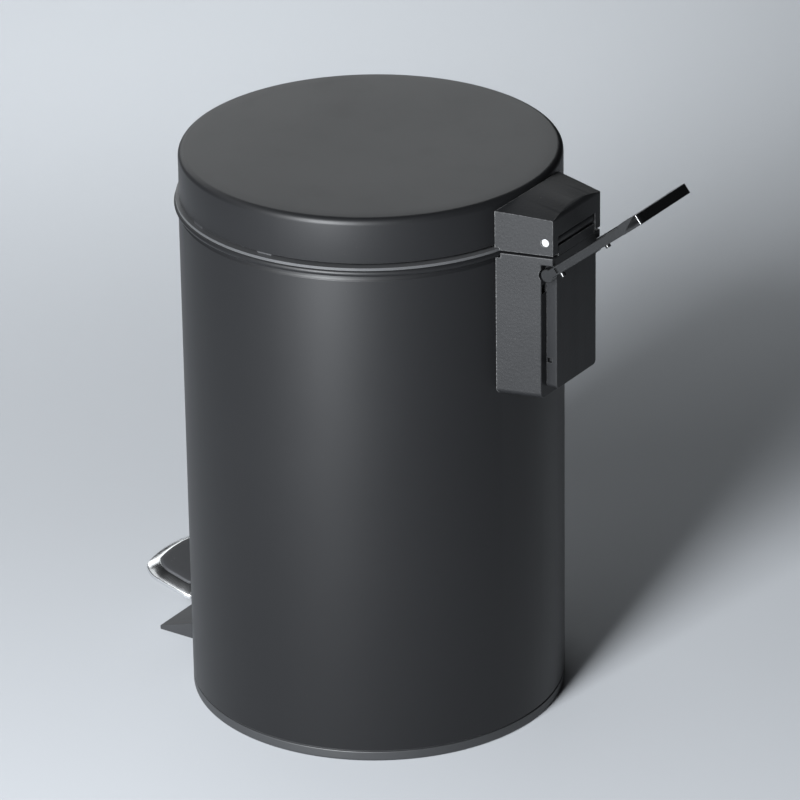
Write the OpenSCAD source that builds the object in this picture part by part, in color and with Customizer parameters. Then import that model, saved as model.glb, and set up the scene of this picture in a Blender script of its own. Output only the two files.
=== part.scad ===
// Small round pedal bin with a rear hinge housing and a folding carry handle.
// The axis of the can is Z, the pedal points to -Y and the hinge to +Y.
// The origin is the centre of the flat underside.

/* [Can] */
// Outside diameter of the steel can
body_d = 170; // [140:1:210]
// Height from the floor to the top of the closed lid
total_h = 262; // [220:1:320]
// Thickness of the steel sheet of the can
shell_wall = 0.6; // [0.5:0.1:1.2]
// Radius of the rolled bead at the mouth of the can
bead_r = 1.4; // [1:0.1:2]
// Clearance left around pieces that sit beside each other
fit_gap = 0.3; // [0.2:0.05:0.5]

/* [Base] */
// Height of the plastic rim that shows below the steel
base_h = 4.7; // [3.5:0.1:8]
// Thickness of the floor of the base
base_floor = 2.2; // [1.5:0.1:3]
// Height of the collar inside the foot of the can
collar_h = 14; // [8:1:20]
// Width of the ramp below the pedal
tongue_w = 37; // [28:1:45]
// Reach of the ramp in front of the can
tongue_reach = 25.5; // [15:0.5:30]

/* [Lid] */
// Height of the skirt of the lid
lid_h = 21; // [16:0.5:28]
// Thickness of the steel sheet of the lid
lid_wall = 0.6; // [0.5:0.1:1.2]
// Radius of the upper edge of the lid
lid_edge_r = 3; // [1.5:0.1:5]
// Angle through which the lid opens
lid_open = 66; // [50:1:70]

/* [Bucket] */
// Wall of the plastic bucket
bucket_wall = 1.4; // [1:0.1:2]
// Height of the bucket floor above the ground
bucket_z = 46; // [44:1:60]
// Thickness of the rim that hangs on the bead
rim_t = 1.2; // [1:0.1:1.6]
// Radius of the bail wire
bail_r = 1.5; // [1:0.1:2]
// Radius of the grip on the bail
grip_r = 3.1; // [2.5:0.1:4]

/* [Hinge housing] */
// Width of the housing where it meets the can
housing_w = 51.8; // [46:0.2:62]
// Width of the housing at its rear face
housing_rear_w = 38.7; // [36:0.1:44]
// Depth of the housing behind the can
housing_depth = 21.1; // [19:0.1:25]
// Height of the housing below the seam
housing_h = 67.2; // [60:0.2:82]
// Plastic wall of the housing
housing_wall = 2.4; // [1.8:0.1:3]
// Width of the raised centre block
block_w = 32.4; // [28:0.2:34]
// Depth of the side channels that take the folded handle
channel_depth = 5.2; // [4.6:0.1:7]
// Gap between the housing and the cap above it
seam_gap = 1.2; // [0.8:0.1:2]
// Radius of the hinge pin
hinge_pin_r = 1.75; // [1.5:0.05:2]

/* [Carry handle] */
// Length of the handle from its pivot to its outer edge
handle_len = 59; // [50:0.5:66]
// Width of each arm along the pivot
arm_w = 3.8; // [3:0.1:4.2]
// Thickness of each arm
arm_t = 4; // [3.2:0.1:4.4]
// Angle of the raised handle above the level
handle_up = 38.5; // [20:0.5:40]

/* [Pedal] */
// Width of the pedal
pedal_w = 46; // [38:0.5:56]
// Length of the pedal
pedal_len = 33.5; // [28:0.5:38]
// Slope of the pedal arm when the lid is shut
pedal_slope = 15.5; // [13.5:0.1:18]
// Radius of the pedal axle
axle_r = 2; // [1.5:0.1:2.5]
// Width of the steel lever
lever_w = 14; // [12:0.5:18]
// Thickness of the steel lever
lever_t = 2.5; // [2:0.1:3]
// Radius of the push rod
rod_r = 1.5; // [1.2:0.1:1.8]

/* [Hidden] */
$fn = 96;
hull_fn = 32;
eps = 0.05;
big = 500;
press = 0.02;           // radial play of a pin held fast
run = 0.06;             // radial play of a pin that turns

steel = [0.62, 0.63, 0.65];
coat = [0.17, 0.18, 0.19];
plastic = [0.13, 0.13, 0.14];
chrome = [0.82, 0.82, 0.84];
rubber = [0.08, 0.08, 0.09];

// Heights up the can
body_r = body_d / 2;
inner_r = body_r - shell_wall;
lid_z0 = total_h - lid_h;
lid_lift = 1.3;                          // gap between the skirt and the bucket rim
rim_z1 = lid_z0 - lid_lift;
bead_top = rim_z1 - rim_t;
bead_z = bead_top - bead_r;
bead_ring_r = body_r + 0.5;
neck_in = 0.5;                           // how far the neck steps in below the bead
neck_z = bead_top - 5;
lid_r = body_r - 0.4;

// Hinge and housing
rear_y = body_r + housing_depth;
cheek_y = body_r - 4;                    // where the side of the housing meets the can
side_slope = (housing_w - housing_rear_w) / 2 / (rear_y - cheek_y);
hinge_y = rear_y - 3.5;
hinge_z = lid_z0 + 3.8;
seam_z = lid_z0 - 3.2;                   // top of the housing
cap_z0 = seam_z + seam_gap;
housing_z0 = seam_z - housing_h;
can_gap = 0.2;                           // housing to steel
lid_room = 0.3;                          // cap to lid
rim_room = 0.4;                          // cap to the rim of the bucket
knuckle_r = 3.3;
knuckle_hw = block_w / 2 - 1.7;
knuckle_room = 0.7;                      // knuckle to the cheeks of the cap
relief_r = knuckle_r + 1;
relief_low = 2.7;                        // depth of the relief below the hinge
tongue_z = hinge_z + 6.4;                // underside of the tongue that ties the lid to the cap
tongue_t = 2.2;
notch_z = hinge_z + 2.1;                 // lower edge of the cap's rear wall
cap_edge_z = total_h - 5;
cap_top_z = total_h - 2;
cap_wall = 2.2;
cap_round = 3.2;
cap_tilt = 7;                            // slope of the cap's top towards the rear
slot_hw = 7.5;                           // half width of the lever slot
slot_low = 7;                            // depth of the lever slot below the top of the rod

// Carry handle
channel_y = rear_y - channel_depth;
pivot_y = rear_y - channel_depth / 2;
pivot_z = seam_z - 8.2;
boss_r = 3.1;
arm_x0 = block_w / 2 + fit_gap;
arm_x1 = arm_x0 + arm_w;
block_z0 = pivot_z - handle_len + 4.4;
bar_in = handle_len - 4;
handle_pin_r = 1.25;
peg_r = 1.3;
peg_len = 2;                             // how far a peg stands below its arm
peg_at = 6.6;                            // distance of a peg from the pivot
head_z = pivot_z + 4.6;                  // where the channels end at the top

// Push rod, lid lever and pedal lever
rod_y = inner_r - 3.7;
rod_dy = hinge_y - rod_y;
lever_half = lid_open / 2;
rod_travel = 2 * rod_dy * tan(lever_half);
rod_top = hinge_z - rod_dy * tan(lever_half);
plate_x0 = rod_r + 0.6;
plate_t = 2.5;
hook_len = plate_x0 + plate_t + 1.9;
axle_y = -body_r + 40;
axle_z = 9.5;
lug_hw = 2.5;                            // half width of an axle lug
hub_hw = lever_w / 2 + 2;
hub_r = axle_r + 2;
lug_x = hub_hw + fit_gap + lug_hw;
axle_end = lug_x + lug_hw + 2.5;
lever_rear = rod_y - axle_y;
pedal_swing = atan(rod_travel / lever_rear);
fork_end = inner_r - 1 - axle_y;
pedal_rear = 44.5;
pedal_front = pedal_rear + pedal_len;
pedal_low = lever_t / 2 - 0.9;           // lower edge of the pedal above the lever's middle
pedal_skirt = 1.4;                       // upright part of the pedal's edge
pedal_bevel = 3.4;                       // rise of the sloping part of the pedal's edge
pedal_top = pedal_low + pedal_skirt + pedal_bevel;
pedal_rivet_r = 1.5;
slot_side = 1.5;                         // pedal lever to the sides of its slot

// Bucket
bucket_top_r = inner_r - 4.2;
bucket_low_r = bucket_top_r - 6;
channel_hw = slot_hw + 3;
arm_tip_r = rod_r + 0.75 + 1.6;          // round end of the lid lever
channel_in_y = hinge_y - rod_dy / cos(lever_half) - arm_tip_r - 0.6;
rim_r = bead_ring_r + 0.7;
bail_z = rim_z1 + grip_r + 0.4;
bail_ring_r = bucket_top_r - 2.5;
ear_x = bucket_top_r + 1.4;
ear_t = 2.4;
bail_end = ear_x + ear_t / 2 + 0.4;
bail_pin_r = bail_r - 0.2;

// Screws
screw_r = 1.4;
screw_head_r = 2.8;
screw_head_t = 1.6;
screw_x = 14;
screw_zs = [housing_z0 + 13, seam_z - 16];
guide_zs = [bucket_z + 30, housing_z0 - 12];
guide_rivet_r = 1.2;
tap_r = 1.2;                             // screws that hold the lid, its bracket and the cap
tap_head_r = 2.4;
tap_head_t = 1.4;

// ---------- helpers ----------

// Cylinder along X, centred on x = 0 unless from_x is given
module rod_x(r, from_x, to_x) {
  translate([from_x, 0, 0]) rotate([0, 90, 0]) cylinder(r = r, h = to_x - from_x);
}

// Same piece on both sides of the plane x = 0
module both_sides() {
  children();
  mirror([1, 0, 0]) children();
}

// Rectangle centred in x from y0 to y1 with four round corners
module round_rect(half_w, y0, y1, r_near, r_far) {
  translate([-half_w + r_near, y0]) square([2 * (half_w - r_near), r_near + eps]);
  translate([-half_w + r_far, y1 - r_far - eps]) square([2 * (half_w - r_far), r_far + eps]);
  translate([-half_w, y0 + r_near]) square([2 * half_w, y1 - y0 - r_near - r_far]);
  for (side = [-1, 1]) {
    translate([side * (half_w - r_near), y0 + r_near]) circle(r = r_near);
    translate([side * (half_w - r_far), y1 - r_far]) circle(r = r_far);
  }
}

// Plan of the housing, drawn inside its outline by the given inset
module housing_plan(inset) {
  y_in = body_r - 15;
  y_out = rear_y - inset;
  half_in = housing_w / 2 + (cheek_y - y_in) * side_slope - inset;
  half_out = housing_rear_w / 2 - inset + inset * side_slope;
  polygon([[-half_in, y_in], [half_in, y_in], [half_out, y_out], [-half_out, y_out]]);
}

// Half width of the housing at a distance y from the axis of the can
function housing_half(y) = housing_w / 2 - (y - cheek_y) * side_slope;

// ---------- can ----------

module base_ring() {
  color(plastic) difference() {
    union() {
      rotate_extrude() {
        square([inner_r - 2.4, base_floor]);
        translate([inner_r - 4.4, 0]) square([body_r - inner_r + 3.9, base_h]);
        translate([body_r - 1, 0.5]) square([1, base_h - 0.5]);
        translate([inner_r - 2.5, base_h - eps]) square([2.3, collar_h + eps]);
      }
      base_tongue();
      for (side = [-1, 1]) axle_lug(side);
    }
    translate([-lever_w / 2 - slot_side, -body_r - 1, base_h])
      cube([lever_w + 2 * slot_side, 8, collar_h + 1]);
    rear_notch();
    translate([0, axle_y, axle_z]) rod_x(axle_r + press, -big / 4, big / 4);
  }
}

// Room in the collar for the rear end of the lever and the foot of the push rod
module rear_notch() {
  deep = 8;
  translate([-slot_hw, inner_r - deep, base_h]) cube([2 * slot_hw, deep + 4, collar_h + 1]);
  translate([-slot_hw, inner_r - deep, base_floor + 0.4]) cube([2 * slot_hw, deep - 0.4, base_h]);
}

// Ramp in front of the can, under the pedal
module base_tongue() {
  front = body_r + tongue_reach;
  rotate([90, 0, -90]) translate([0, 0, -tongue_w / 2]) linear_extrude(tongue_w)
    polygon([[body_r - 6, 0], [front, 0], [front, 1.8], [body_r + 0.4, 10], [body_r + 0.4, base_h],
             [body_r - 6, base_h]]);
}

// One upright lug that carries the pedal axle
module axle_lug(side) {
  translate([side * lug_x, axle_y, 0]) {
    translate([-lug_hw, -hub_r, base_floor - eps])
      cube([2 * lug_hw, 2 * hub_r, axle_z - base_floor + eps]);
    translate([0, 0, axle_z]) rod_x(hub_r, -lug_hw, lug_hw);
  }
}

module outer_shell() {
  z0 = base_h + 0.5;
  color(coat) difference() {
    rotate_extrude() {
      translate([inner_r, z0]) square([shell_wall, neck_z + 0.6 - z0]);
      translate([inner_r - neck_in, neck_z]) square([shell_wall, bead_z - neck_z]);
      translate([bead_ring_r, bead_z]) circle(r = bead_r);
    }
    shell_cuts(z0);
  }
}

// Pedal slot at the front, lever notch and screw holes at the rear
module shell_cuts(z0) {
  pedal_slot_h = 22;
  translate([-lever_w / 2 - slot_side, -body_r - 5, z0 - 1])
    cube([lever_w + 2 * slot_side, 10, pedal_slot_h + 1]);
  lever_notch(0);
  screw_places() cylinder(r = screw_r + 0.2, h = 12, center = true);
}

// Upright slot behind the distance y0, in which the lid lever swings
module lever_notch(y0) {
  translate([-slot_hw, y0, rod_top - slot_low]) cube([2 * slot_hw, body_r + 11 - y0, 40]);
}

// Places of the four housing screws, with Z pointing inward through the can wall
module screw_places() {
  for (side = [-1, 1]) for (z = screw_zs)
    translate([side * screw_x, sqrt(pow(inner_r, 2) - pow(screw_x, 2)), z])
      rotate([90, 0, 0]) children();
}

module backing_plate() {
  plate_hw = 19;
  plate_in = 1.2;
  color(steel) difference() {
    intersection() {
      translate([0, 0, housing_z0 + 5]) difference() {
        cylinder(r = inner_r - eps, h = housing_h - 13);
        translate([0, 0, -1]) cylinder(r = inner_r - plate_in, h = housing_h);
      }
      translate([-plate_hw, 0, 0]) cube([2 * plate_hw, body_r, total_h]);
    }
    lever_notch(0);
    screw_places() cylinder(r = screw_r + 0.2, h = 12, center = true);
  }
}

module housing_screws() {
  head_seat = 2.6;
  color(steel) screw_places() {
    translate([0, 0, -8]) cylinder(r = screw_r, h = 8 + head_seat);
    translate([0, 0, head_seat - eps]) cylinder(r = screw_head_r, h = screw_head_t);
  }
}

// ---------- hinge housing ----------

module hinge_housing() {
  color(plastic) difference() {
    union() {
      housing_body();
      hinge_tab();
    }
    cylinder(r = body_r + can_gap, h = total_h);
    translate([0, 0, bead_z - bead_r - can_gap])
      cylinder(r = bead_ring_r + bead_r + can_gap, h = total_h);
    housing_cavity();
    lever_notch(body_r - 5);
    screw_places() translate([0, 0, -9]) cylinder(r = screw_r + press, h = 12);
    translate([0, hinge_y, hinge_z]) rod_x(hinge_pin_r + press, -big / 4, big / 4);
    translate([0, pivot_y, pivot_z]) rod_x(handle_pin_r + press, -big / 4, big / 4);
    both_sides() latch_pocket();
    both_sides() peg_pocket();
  }
}

// Outside of the housing below the seam, with the handle channels cut away
module housing_body() {
  difference() {
    intersection() {
      translate([0, 0, housing_z0]) linear_extrude(housing_h) housing_plan(0);
      rounded_foot();
    }
    both_sides() handle_channel();
    translate([-big / 2, channel_y, housing_z0 - 1])
      cube([big, big, block_z0 - housing_z0 + 1]);
  }
}

// Upright slab with round lower corners, as wide as the housing
module rounded_foot() {
  foot_r = 3;
  half = housing_half(body_r - 4) + 0.01;
  translate([0, rear_y + 1, 0]) rotate([90, 0, 0]) linear_extrude(housing_depth + 20)
    round_rect(half, housing_z0, seam_z + 20, foot_r, foot_r);
}

// Side channel with a round pocket at the pivot
module handle_channel() {
  translate([block_w / 2, channel_y, housing_z0 - 1])
    cube([big, big, pivot_z - housing_z0 + 1]);
  translate([0, pivot_y, pivot_z]) rod_x(boss_r + 0.5, block_w / 2, big / 4);
  translate([block_w / 2, pivot_y, pivot_z - eps]) cube([big, big, head_z - pivot_z + eps]);
}

module latch_pocket() {
  pocket = 2.4;
  translate([block_w / 2 - 2, channel_y + 0.3, block_z0 + 12]) cube([4, pocket, pocket]);
}

// Room in the channel for the peg of the folded handle
module peg_pocket() {
  room = 0.35;
  sweep = 0.9;                            // the peg comes in on an arc
  deep = arm_t / 2 + peg_len - channel_depth / 2 + room;
  half = peg_r + room;
  translate([(arm_x0 + arm_x1) / 2 - half, channel_y - deep, pivot_z - peg_at - half - sweep])
    cube([2 * half, deep + eps, 2 * half + sweep]);
}

// Centre tab that carries the hinge pin
module hinge_tab() {
  difference() {
    union() {
      translate([-knuckle_hw, hinge_y - knuckle_r, seam_z - 1])
        cube([2 * knuckle_hw, rear_y - hinge_y + knuckle_r, hinge_z - seam_z + 1]);
      translate([0, hinge_y, hinge_z]) rod_x(knuckle_r, -knuckle_hw, knuckle_hw);
    }
    translate([0, hinge_y, hinge_z]) difference() {
      intersection() {
        rod_x(relief_r, -big / 4, big / 4);
        translate([-big / 2, 0, -relief_low]) cube([big, relief_r + 1, big]);
      }
      rod_x(knuckle_r, -big / 4, big / 4);
    }
  }
}

module housing_cavity() {
  z1 = seam_z - housing_wall;
  difference() {
    translate([0, 0, housing_z0 + housing_wall])
      linear_extrude(z1 - housing_z0 - housing_wall) intersection() {
        housing_plan(housing_wall);
        translate([-big / 2, 0]) square([big, channel_y - housing_wall]);
      }
    screw_places() translate([0, 0, -housing_depth]) cylinder(r = screw_r + 2.2, h = housing_depth + 2);
    translate([-knuckle_hw, hinge_y - knuckle_r - 2.5, rod_top - slot_low])
      cube([2 * knuckle_hw, big, 40]);
  }
  translate([-block_w / 2 + housing_wall, channel_y - housing_wall - 1, block_z0 + housing_wall])
    cube([block_w - 2 * housing_wall, channel_depth + 1, pivot_z - block_z0 - 10]);
}

module hinge_pin() {
  half = housing_half(hinge_y) - 0.3;
  color(chrome) translate([0, hinge_y, hinge_z]) rod_x(hinge_pin_r, -half, half);
}

module handle_pin() {
  half = arm_x1 - 0.4;
  color(steel) translate([0, pivot_y, pivot_z]) rod_x(handle_pin_r, -half, half);
}

// ---------- carry handle ----------

module carry_handle() {
  color(plastic) translate([0, pivot_y, pivot_z]) rotate([handle_up, 0, 0]) difference() {
    union() {
      both_sides() handle_arm();
      handle_bar();
    }
    rod_x(handle_pin_r + run, -big / 4, big / 4);
  }
}

// Arm along +Y from its boss, with a small peg on its underside
module handle_arm() {
  rod_x(boss_r, arm_x0, arm_x1);
  translate([arm_x0, 0, -arm_t / 2]) cube([arm_w, handle_len - 4, arm_t]);
  translate([(arm_x0 + arm_x1) / 2, peg_at, -arm_t / 2 - peg_len])
    cylinder(r = peg_r, h = peg_len + 1);
}

// Grip bar across the ends of the arms, thicker on its upper side
module handle_bar() {
  low = arm_t / 2 + 0.1;
  high = arm_t / 2 + 0.9;
  bow_r = 60;
  intersection() {
    translate([0, 0, -low]) linear_extrude(low + high)
      difference() {
        round_rect(arm_x1, bar_in - 8, handle_len, 1, 3);
        translate([-arm_x0, bar_in - 9]) square([2 * arm_x0, 9]);
      }
    translate([-big / 2, bar_in - 2, high - bow_r]) rotate([0, 90, 0])
      cylinder(r = bow_r, h = big);
  }
}

// ---------- bucket ----------

module bucket() {
  color(plastic) difference() {
    union() {
      difference() {
        bucket_form(0, bucket_z);
        translate([-channel_hw, channel_in_y, 0]) cube([2 * channel_hw, big, total_h]);
      }
      both_sides() bail_ear();
    }
    difference() {
      bucket_form(bucket_wall, bucket_z + 1.6);
      translate([-channel_hw - bucket_wall, channel_in_y - bucket_wall, 0])
        cube([2 * (channel_hw + bucket_wall), big, total_h]);
    }
    translate([0, 0, bail_z]) rod_x(bail_pin_r + run, -big / 4, big / 4);
  }
}

// Tapered round form of the bucket; with no inset it includes the rim
module bucket_form(inset, z0) {
  rotate_extrude() {
    polygon([[0, z0], [bucket_low_r - inset, z0], [bucket_top_r - inset, rim_z1 + (inset > 0 ? 1 : 0)],
             [0, rim_z1 + (inset > 0 ? 1 : 0)]]);
    if (inset == 0) translate([bucket_top_r - 1, bead_top]) square([rim_r - bucket_top_r + 1, rim_t]);
  }
}

module bail_ear() {
  ear_hy = 3.6;
  translate([ear_x - ear_t / 2, -ear_hy, rim_z1 - eps])
    cube([ear_t, 2 * ear_hy, bail_z - rim_z1 + eps]);
  translate([0, 0, bail_z]) rod_x(ear_hy, ear_x - ear_t / 2, ear_x + ear_t / 2);
}

module bucket_bail() {
  color(steel) translate([0, 0, bail_z]) {
    rotate([0, 0, 180]) rotate_extrude(angle = 180) translate([bail_ring_r, 0]) circle(r = bail_r);
    both_sides() rod_x(bail_pin_r, bail_ring_r - 1, bail_end);
  }
}

module bail_grip() {
  spread = 40;
  color(rubber) translate([0, 0, bail_z]) rotate([0, 0, -90 - spread / 2])
    rotate_extrude(angle = spread) translate([bail_ring_r, 0]) difference() {
      circle(r = grip_r);
      circle(r = bail_r + press);
    }
}

// ---------- push rod ----------

module push_rod() {
  color(steel) translate([0, rod_y, 0]) {
    translate([0, 0, axle_z]) cylinder(r = rod_r, h = rod_top - axle_z);
    for (z = [axle_z, rod_top]) translate([0, 0, z]) {
      sphere(r = rod_r);
      rod_x(rod_r, 0, hook_len);
    }
  }
}

module rod_guides() {
  guide_hw = 6;
  guide_h = 8;
  color(plastic) for (z = guide_zs) difference() {
    intersection() {
      translate([0, 0, z]) cylinder(r = inner_r - eps, h = guide_h);
      translate([-guide_hw, rod_y - rod_r - 1.8, z]) cube([2 * guide_hw, 20, guide_h]);
    }
    translate([0, rod_y, z - 1]) cylinder(r = rod_r + 0.09, h = guide_h + 2);
    rivet_places(z + guide_h / 2) cylinder(r = guide_rivet_r + press, h = 20, center = true);
  }
}

// Places of the two rivets of one rod guide
module rivet_places(z) {
  for (side = [-1, 1]) translate([side * 4, rod_y - rod_r - 1.8, z]) rotate([-90, 0, 0]) children();
}

module guide_rivets() {
  stem = inner_r - rod_y + rod_r + 1.6;
  color(steel) for (z = guide_zs) rivet_places(z + 4) {
    cylinder(r = guide_rivet_r, h = stem);
    translate([0, 0, -0.9]) cylinder(r = guide_rivet_r + 0.6, h = 0.9);
  }
}

// ---------- pedal ----------

module pedal_axle() {
  color(steel) translate([0, axle_y, axle_z]) rod_x(axle_r, -axle_end, axle_end);
}

module axle_clips() {
  clip_t = 1;
  color(steel) both_sides() translate([0, axle_y, axle_z]) difference() {
    rod_x(axle_r + 1.8, lug_x + lug_hw + 0.2, lug_x + lug_hw + 0.2 + clip_t);
    rod_x(axle_r + press, 0, big / 4);
  }
}

// Puts a piece drawn along -Y from the axle onto the sloping pedal arm
module on_pedal_arm() {
  translate([0, axle_y, axle_z]) rotate([-pedal_slope, 0, 0]) children();
}

module pedal_lever() {
  color(steel) difference() {
    union() {
      translate([0, axle_y, axle_z]) {
        rod_x(hub_r, -hub_hw, hub_hw);
        translate([-lever_w / 2, 0, -lever_t / 2]) cube([lever_w, lever_rear - 18, lever_t]);
        translate([plate_x0, lever_rear - 28, -5]) cube([plate_t, fork_end - lever_rear + 28, 10]);
      }
      on_pedal_arm() {
        translate([-lever_w / 2, -pedal_front + 8, -lever_t / 2])
          cube([lever_w, pedal_front - 8, lever_t]);
        translate([-lever_w, -pedal_front + 8, -lever_t / 2])
          cube([2 * lever_w, pedal_len - 14, lever_t]);
      }
    }
    translate([0, axle_y, axle_z]) {
      rod_x(axle_r + run, -big / 4, big / 4);
      translate([plate_x0 - 1, lever_rear, 0]) fork_slot();
    }
    on_pedal_arm() pedal_rivet_places() cylinder(r = pedal_rivet_r + press, h = 20, center = true);
  }
}

// Open slot in which the foot of the push rod slides
module fork_slot() {
  slot_r = rod_r + 0.45;
  rod_x(slot_r, 0, plate_t + 2);
  translate([0, 0, -slot_r]) cube([plate_t + 2, 20, 2 * slot_r]);
}

// Outline of the pedal seen along its normal
module pedal_outline(inset) {
  nose_r = 70;
  front_round = 13;
  rear_round = 6;
  intersection() {
    round_rect(pedal_w / 2 - inset, -pedal_front + inset, -pedal_rear - inset,
               front_round - inset / 2, rear_round - inset / 2);
    translate([0, -pedal_front + nose_r]) circle(r = nose_r - inset);
  }
}

module pedal_frame() {
  bevel_in = 4.2;
  sheet = 1;
  color(chrome) on_pedal_arm() difference() {
    translate([0, 0, pedal_low]) union() {
      linear_extrude(pedal_skirt + eps) pedal_outline(0);
      translate([0, 0, pedal_skirt]) bevelled(0, bevel_in, pedal_bevel);
    }
    translate([0, 0, pedal_low - eps]) linear_extrude(pedal_skirt + 2 * eps) pedal_outline(sheet);
    translate([0, 0, pedal_low + pedal_skirt - sheet])
      bevelled(sheet, bevel_in + sheet, pedal_bevel);
    translate([-lever_w / 2 - fit_gap, -pedal_rear - 3, pedal_low - 1])
      cube([lever_w + 2 * fit_gap, 6, 1 + lever_t / 2 - pedal_low + eps]);
    pedal_rivet_places() cylinder(r = pedal_rivet_r + press, h = 20, center = true);
  }
  color(chrome) on_pedal_arm() pedal_bosses(pedal_top - sheet);
}

// Block that narrows from one pedal outline to a smaller one
module bevelled(inset_low, inset_high, height) {
  hull() {
    linear_extrude(eps, $fn = hull_fn) pedal_outline(inset_low);
    translate([0, 0, height - eps]) linear_extrude(eps, $fn = hull_fn) pedal_outline(inset_high);
  }
}

// Spacers between the lever and the top of the pedal
module pedal_bosses(top) {
  pedal_rivet_places() translate([0, 0, lever_t / 2]) difference() {
    cylinder(r = 3.6, h = top - lever_t / 2 + 0.3);
    translate([0, 0, -1]) cylinder(r = pedal_rivet_r + press, h = 20);
  }
}

module pedal_rivet_places() {
  for (side = [-1, 1]) translate([side * 8, -pedal_front + 15, 0]) children();
}

module pedal_rivets() {
  color(steel) on_pedal_arm() pedal_rivet_places() {
    translate([0, 0, -lever_t / 2 - 1]) cylinder(r = 2.8, h = 1);
    translate([0, 0, -lever_t / 2]) cylinder(r = pedal_rivet_r, h = pedal_top + lever_t / 2 - 0.1);
  }
}

module pedal_pad() {
  pad_t = 1.6;
  pad_inset = 4.9;
  color(rubber) on_pedal_arm() translate([0, 0, pedal_top]) linear_extrude(pad_t)
    pedal_outline(pad_inset);
}

// ---------- lid ----------

// Half section of the lid, drawn inside its outline by the given inset
module lid_section(inset) {
  r = lid_r - inset;
  h = lid_h - inset;
  edge = lid_edge_r - inset;
  square([r - edge, h]);
  square([r, h - edge]);
  translate([r - edge, h - edge]) circle(r = edge);
}

module lid_shell() {
  gate_hw = 15;                           // gate in the skirt for the bracket
  color(coat) translate([0, 0, lid_z0]) difference() {
    rotate_extrude() difference() {
      lid_section(0);
      translate([0, -1]) square([lid_r - lid_wall, 1]);
      lid_section(lid_wall);
    }
    translate([-gate_hw, 0, -1]) cube([2 * gate_hw, big, lid_h - 6]);
    bracket_screw_places() cylinder(r = tap_r, h = 1, center = true);
  }
}

// Arm and tongue that tie the lid to the cap and take the push rod
module lid_bracket() {
  tongue_hw = 13;
  under_lid = total_h - lid_wall;
  pad_y = rod_y - 24;
  color(plastic) difference() {
    union() {
      translate([-tongue_hw, pad_y, tongue_z])
        cube([2 * tongue_hw, hinge_y - 5.4 - pad_y, tongue_t]);
      translate([-tongue_hw, pad_y, tongue_z]) cube([2 * tongue_hw, 14, under_lid - tongue_z - eps]);
      lid_lever(tongue_z + tongue_t);
    }
    translate([0, hinge_y, hinge_z]) lever_slot();
    bracket_screw_holes();
    translate([0, 0, tongue_z - 1]) cap_screw_places() cylinder(r = tap_r + fit_gap, h = tongue_t + 2);
  }
}

// Upright plate from the tongue down to the push rod
module lid_lever(top) {
  tip = [rod_y, rod_top];
  root = tip + 5 * [cos(lever_half), sin(lever_half)];
  lift = top - 0.4 - root[1];
  translate([plate_x0, 0, 0]) rotate([90, 0, 90]) linear_extrude(plate_t) {
    hull() {
      translate(tip) circle(r = arm_tip_r, $fn = hull_fn);
      translate(root) circle(r = arm_tip_r, $fn = hull_fn);
    }
    hull() {
      translate(root) circle(r = arm_tip_r, $fn = hull_fn);
      translate(root + [-arm_tip_r, lift - 1]) square([2 * arm_tip_r + 1.5, 1]);
    }
  }
}

// Straight slot that the hook of the push rod slides along
module lever_slot() {
  slot_r = rod_r + 0.75;
  slot_out = rod_dy / cos(lever_half);
  rotate([lever_half, 0, 0]) translate([plate_x0 - 1, -slot_out, 0]) {
    hull() {
      rod_x(slot_r, 0, plate_t + 2, $fn = hull_fn);
      translate([0, slot_out - rod_dy, 0]) rod_x(slot_r, 0, plate_t + 2, $fn = hull_fn);
    }
  }
}

module bracket_screw_places() {
  for (side = [-1, 1]) translate([side * 8, rod_y - 17, lid_h - lid_wall]) children();
}

module bracket_screw_holes() {
  translate([0, 0, lid_z0]) bracket_screw_places()
    translate([0, 0, -9]) cylinder(r = tap_r + press, h = 10);
}

module bracket_screws() {
  color(steel) translate([0, 0, tongue_z - tap_head_t - lid_h + lid_wall]) bracket_screw_places()
    cylinder(r = tap_head_r, h = tap_head_t);
}

module hinge_cap() {
  color(plastic) difference() {
    cap_form(0, cap_z0);
    cylinder(r = lid_r + lid_room, h = total_h + 10);
    cylinder(r = rim_r + rim_room, h = rim_z1 + rim_room);
    cap_cavity();
    translate([0, hinge_y, hinge_z]) {
      rod_x(relief_r - 0.75, -knuckle_hw - knuckle_room, knuckle_hw + knuckle_room);
      rod_x(hinge_pin_r + run, -big / 4, big / 4);
    }
    translate([-knuckle_hw - knuckle_room, hinge_y - relief_r, cap_z0 - 1])
      cube([2 * (knuckle_hw + knuckle_room), 20, notch_z - cap_z0 + 1]);
  }
  color(plastic) cap_bosses();
}

// Crowned outer form of the cap with a round upper rear edge
module cap_form(inset, z0) {
  crown_rise = cap_top_z - cap_edge_z;
  half = housing_half(body_r + 4);
  crown_r = (pow(half, 2) + pow(crown_rise, 2)) / (2 * crown_rise);
  turn_y = rear_y - inset - cap_round;
  turn_z = cap_top_z - inset - (turn_y - body_r) * tan(cap_tilt) - cap_round;
  intersection() {
    translate([0, 0, z0]) linear_extrude(total_h - z0) housing_plan(inset);
    translate([0, body_r, cap_top_z - inset - crown_r / cos(cap_tilt)])
      rotate([-90 - cap_tilt, 0, 0]) translate([0, 0, -25])
        cylinder(r = crown_r, h = housing_depth + 50, $fn = 240);
    rotate([90, 0, 90]) translate([0, 0, -housing_w]) linear_extrude(2 * housing_w) {
      square([turn_y, cap_top_z - inset]);
      square([rear_y - inset, turn_z]);
      translate([turn_y, turn_z]) circle(r = cap_round);
    }
  }
}

module cap_cavity() {
  difference() {
    cap_form(cap_wall, cap_z0 - 1);
    both_sides() translate([0, hinge_y, hinge_z])
      rod_x(knuckle_r + 1, knuckle_hw + knuckle_room, housing_w);
    both_sides() translate([knuckle_hw + knuckle_room, hinge_y - knuckle_r - 1, hinge_z])
      cube([housing_w, big, big]);
  }
}

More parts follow.
